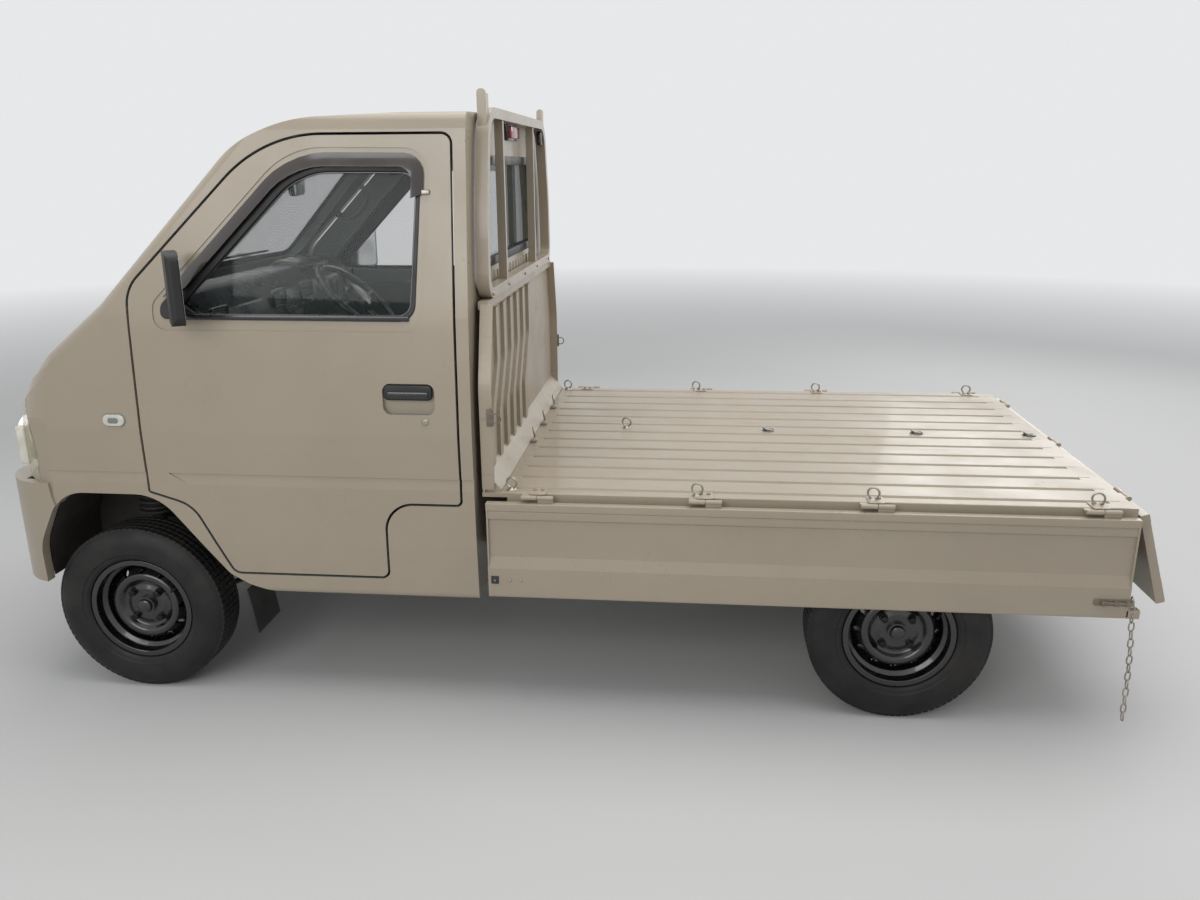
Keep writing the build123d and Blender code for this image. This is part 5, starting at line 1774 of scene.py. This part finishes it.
@dataclass
class Underside:
    """U-bolts and plates of the rear springs, and the tank straps."""

    axle: float = 2770.0

    def build(self) -> None:
        """Makes the fittings seen from low angles."""
        bolts = Piece("spring_u_bolts", RUSTY, sharp=60)
        plates = Piece("spring_plates", FRAME_PAINT)
        bend = ((424, 268), (424, 330), (428, 352), (482, 352), (486, 330), (486, 268))
        for x in (self.axle - 38, self.axle + 38):
            bolts.add(tube([(x, y, z) for y, z in bend], 6))
        plates.add(block((self.axle - 58, 412, 268), (self.axle + 58, 498, 276), 2))
        bolts.both_sides().place()
        plates.both_sides().place()
        straps = Piece("tank_straps", FRAME_PAINT)
        for x in (1730.0, 2050.0):
            outer = oblong(-644, 326, -406, 524, 30)
            inner = oblong(-641, 329, -409, 521, 27)
            straps.add(rim(outer, inner, Drawing.FRONT, x - 14, x + 14, 0.8))
        straps.place()


@dataclass
class Studio:
    """Pale floor, soft light and the photograph's camera."""

    camera_place: Colour = (0.3854, -3.3622, 1.6126)
    yaw: float = -5.38
    pitch: float = 16.362
    roll: float = -0.307
    focal_pixels: float = 968.3
    frame_pixels: float = 1200.0
    floor_half: float = 30.0
    floor_colour: Colour = (0.62, 0.62, 0.61)
    backdrop: Colour = (0.80, 0.81, 0.82)
    fade_start: float = 4.5
    fade_end: float = 13.0

    def build(self) -> None:
        """Makes floor, lamps, world and camera."""
        self.floor()
        self.lamps()
        self.world()
        self.camera()
        bpy.context.scene.view_settings.view_transform = "Standard"

    def floor(self) -> None:
        """The floor the truck stands on."""
        bm = bmesh.new()
        bmesh.ops.create_grid(bm, x_segments=1, y_segments=1, size=self.floor_half)
        mesh = bpy.data.meshes.new("studio_floor")
        bm.to_mesh(mesh)
        bm.free()
        floor = bpy.data.objects.new("studio_floor", mesh)
        bpy.context.scene.collection.objects.link(floor)
        g = Graph("studio_floor_paint")
        g.constants(Roughness=0.7, Specular_IOR_Level=0.2)
        g.link(
            g.ramp(g.noise(0.7, 3), [(0.3, shade(self.floor_colour, 0.98)), (0.7, self.floor_colour)]),
            "Base Color",
        )
        reach = g.tree.nodes.new("ShaderNodeVectorMath")
        reach.operation = "LENGTH"
        g.tree.links.new(g.coords, reach.inputs[0])
        far = g.spread(reach.outputs["Value"], self.fade_start, self.fade_end)
        glow = g.tree.nodes.new("ShaderNodeEmission")
        glow.inputs["Color"].default_value = (*self.backdrop, 1.0)
        self.show_by_ray(g.tree, g.shader.outputs[0], glow.outputs[0], far, g.tree.nodes["Material Output"])
        mesh.materials.append(g.material)

    def show_by_ray(
        self, tree: bpy.types.NodeTree, light: bpy.types.NodeSocket, shown: bpy.types.NodeSocket,
        amount: bpy.types.NodeSocket | float, output: bpy.types.Node,
    ) -> None:
        """Shows one shader to the camera and in reflections, and another to the light.

        Args:
            tree: The node tree.
            light: Shader that lights the scene.
            shown: Shader that the camera, gloss and glass see.
            amount: How much of it they see, from 0 to 1.
            output: The tree's output node.
        """
        ray = tree.nodes.new("ShaderNodeLightPath")
        factor = ray.outputs["Is Camera Ray"]
        steps = [("MAXIMUM", ray.outputs["Is Glossy Ray"]), ("MAXIMUM", ray.outputs["Is Transmission Ray"])]
        for kind, value in steps + [("MULTIPLY", amount)]:
            node = tree.nodes.new("ShaderNodeMath")
            node.operation = kind
            tree.links.new(factor, node.inputs[0])
            if isinstance(value, float):
                node.inputs[1].default_value = value
            else:
                tree.links.new(value, node.inputs[1])
            factor = node.outputs[0]
        mix = tree.nodes.new("ShaderNodeMixShader")
        for source, socket in zip((factor, light, shown), mix.inputs):
            tree.links.new(source, socket)
        tree.links.new(mix.outputs[0], output.inputs["Surface"])

    def lamps(self) -> None:
        """Soft boxes above the bed, towards the near side and behind."""
        rows = [
            # name, place, target, width, height, watts
            ("top_light", (0.6, -0.2, 4.6), (0.6, 0.0, 0.5), 6.0, 4.5, 150.0),
            ("near_light", (-1.6, -5.5, 3.0), (0.0, 0.0, 0.7), 4.0, 2.5, 95.0),
            ("far_light", (3.5, 4.5, 3.2), (0.4, 0.0, 0.8), 3.5, 2.5, 70.0),
        ]
        for name, place, target, width, height, watts in rows:
            light = bpy.data.lights.new(name, "AREA")
            light.shape = "RECTANGLE"
            light.size = width
            light.size_y = height
            light.energy = watts
            lamp = bpy.data.objects.new(name, light)
            lamp.location = place
            lamp.rotation_euler = (Vector(target) - Vector(place)).to_track_quat("-Z", "Y").to_euler()
            bpy.context.scene.collection.objects.link(lamp)

    def world(self) -> None:
        """Even ambient light, with a pale backdrop where the camera and reflections look."""
        world = bpy.data.worlds.new("studio_world")
        bpy.context.scene.world = world
        world.use_nodes = True
        tree = world.node_tree
        light = tree.nodes["Background"]
        light.inputs["Color"].default_value = (0.95, 0.97, 1.0, 1.0)
        light.inputs["Strength"].default_value = 0.42
        shown = tree.nodes.new("ShaderNodeBackground")
        shown.inputs["Color"].default_value = (*self.backdrop, 1.0)
        shown.inputs["Strength"].default_value = 1.0
        self.show_by_ray(tree, light.outputs[0], shown.outputs[0], 1.0, tree.nodes["World Output"])

    def camera(self) -> None:
        """The camera at the photographer's place."""
        yaw, pitch, roll = (math.radians(a) for a in (self.yaw, self.pitch, self.roll))
        ahead = Vector((math.sin(yaw) * math.cos(pitch), math.cos(yaw) * math.cos(pitch), -math.sin(pitch)))
        right = Vector((math.cos(yaw), -math.sin(yaw), 0.0))
        up = right.cross(ahead)
        right_rolled = right * math.cos(roll) + up * math.sin(roll)
        up_rolled = up * math.cos(roll) - right * math.sin(roll)
        lens = bpy.data.cameras.new("photo_camera")
        lens.sensor_width = 36.0
        lens.lens = 36.0 * self.focal_pixels / self.frame_pixels
        camera = bpy.data.objects.new("photo_camera", lens)
        turn = Matrix((right_rolled, up_rolled, -ahead)).transposed().to_4x4()
        camera.matrix_world = Matrix.Translation(self.camera_place) @ turn
        bpy.context.scene.collection.objects.link(camera)
        bpy.context.scene.camera = camera


def main() -> None:
    """Builds the studio, dresses the solids and adds every sub-assembly."""
    logging.basicConfig(level=logging.WARNING, format="%(name)s %(message)s")
    Studio().build()
    dress_solids()
    for side in Side:
        DoorTrim(side).build()
        SideGate(side=side).build()
    corners = [
        ("front_left", Body.WHEEL_FRONT_LEFT, (420.0, -645.0, 271.0), -1),
        ("front_right", Body.WHEEL_FRONT_RIGHT, (420.0, 645.0, 271.0), 1),
        ("rear_left", Body.WHEEL_REAR_LEFT, (2770.0, -640.0, 271.0), -1),
        ("rear_right", Body.WHEEL_REAR_RIGHT, (2770.0, 640.0, 271.0), 1),
    ]
    for corner, body, centre, outward in corners:
        Tyre(corner, body, centre, outward).build()
    for assembly in (
        Glazing(), Tailgate(), BedFittings(), GuardFittings(), Lamps(), Dashboard(), Controls(), CabTrim(),
        Seats(), Underside(),
    ):
        assembly.build()
        LOG.info("built %s", type(assembly).__name__)


if __name__ == "__main__":
    main()
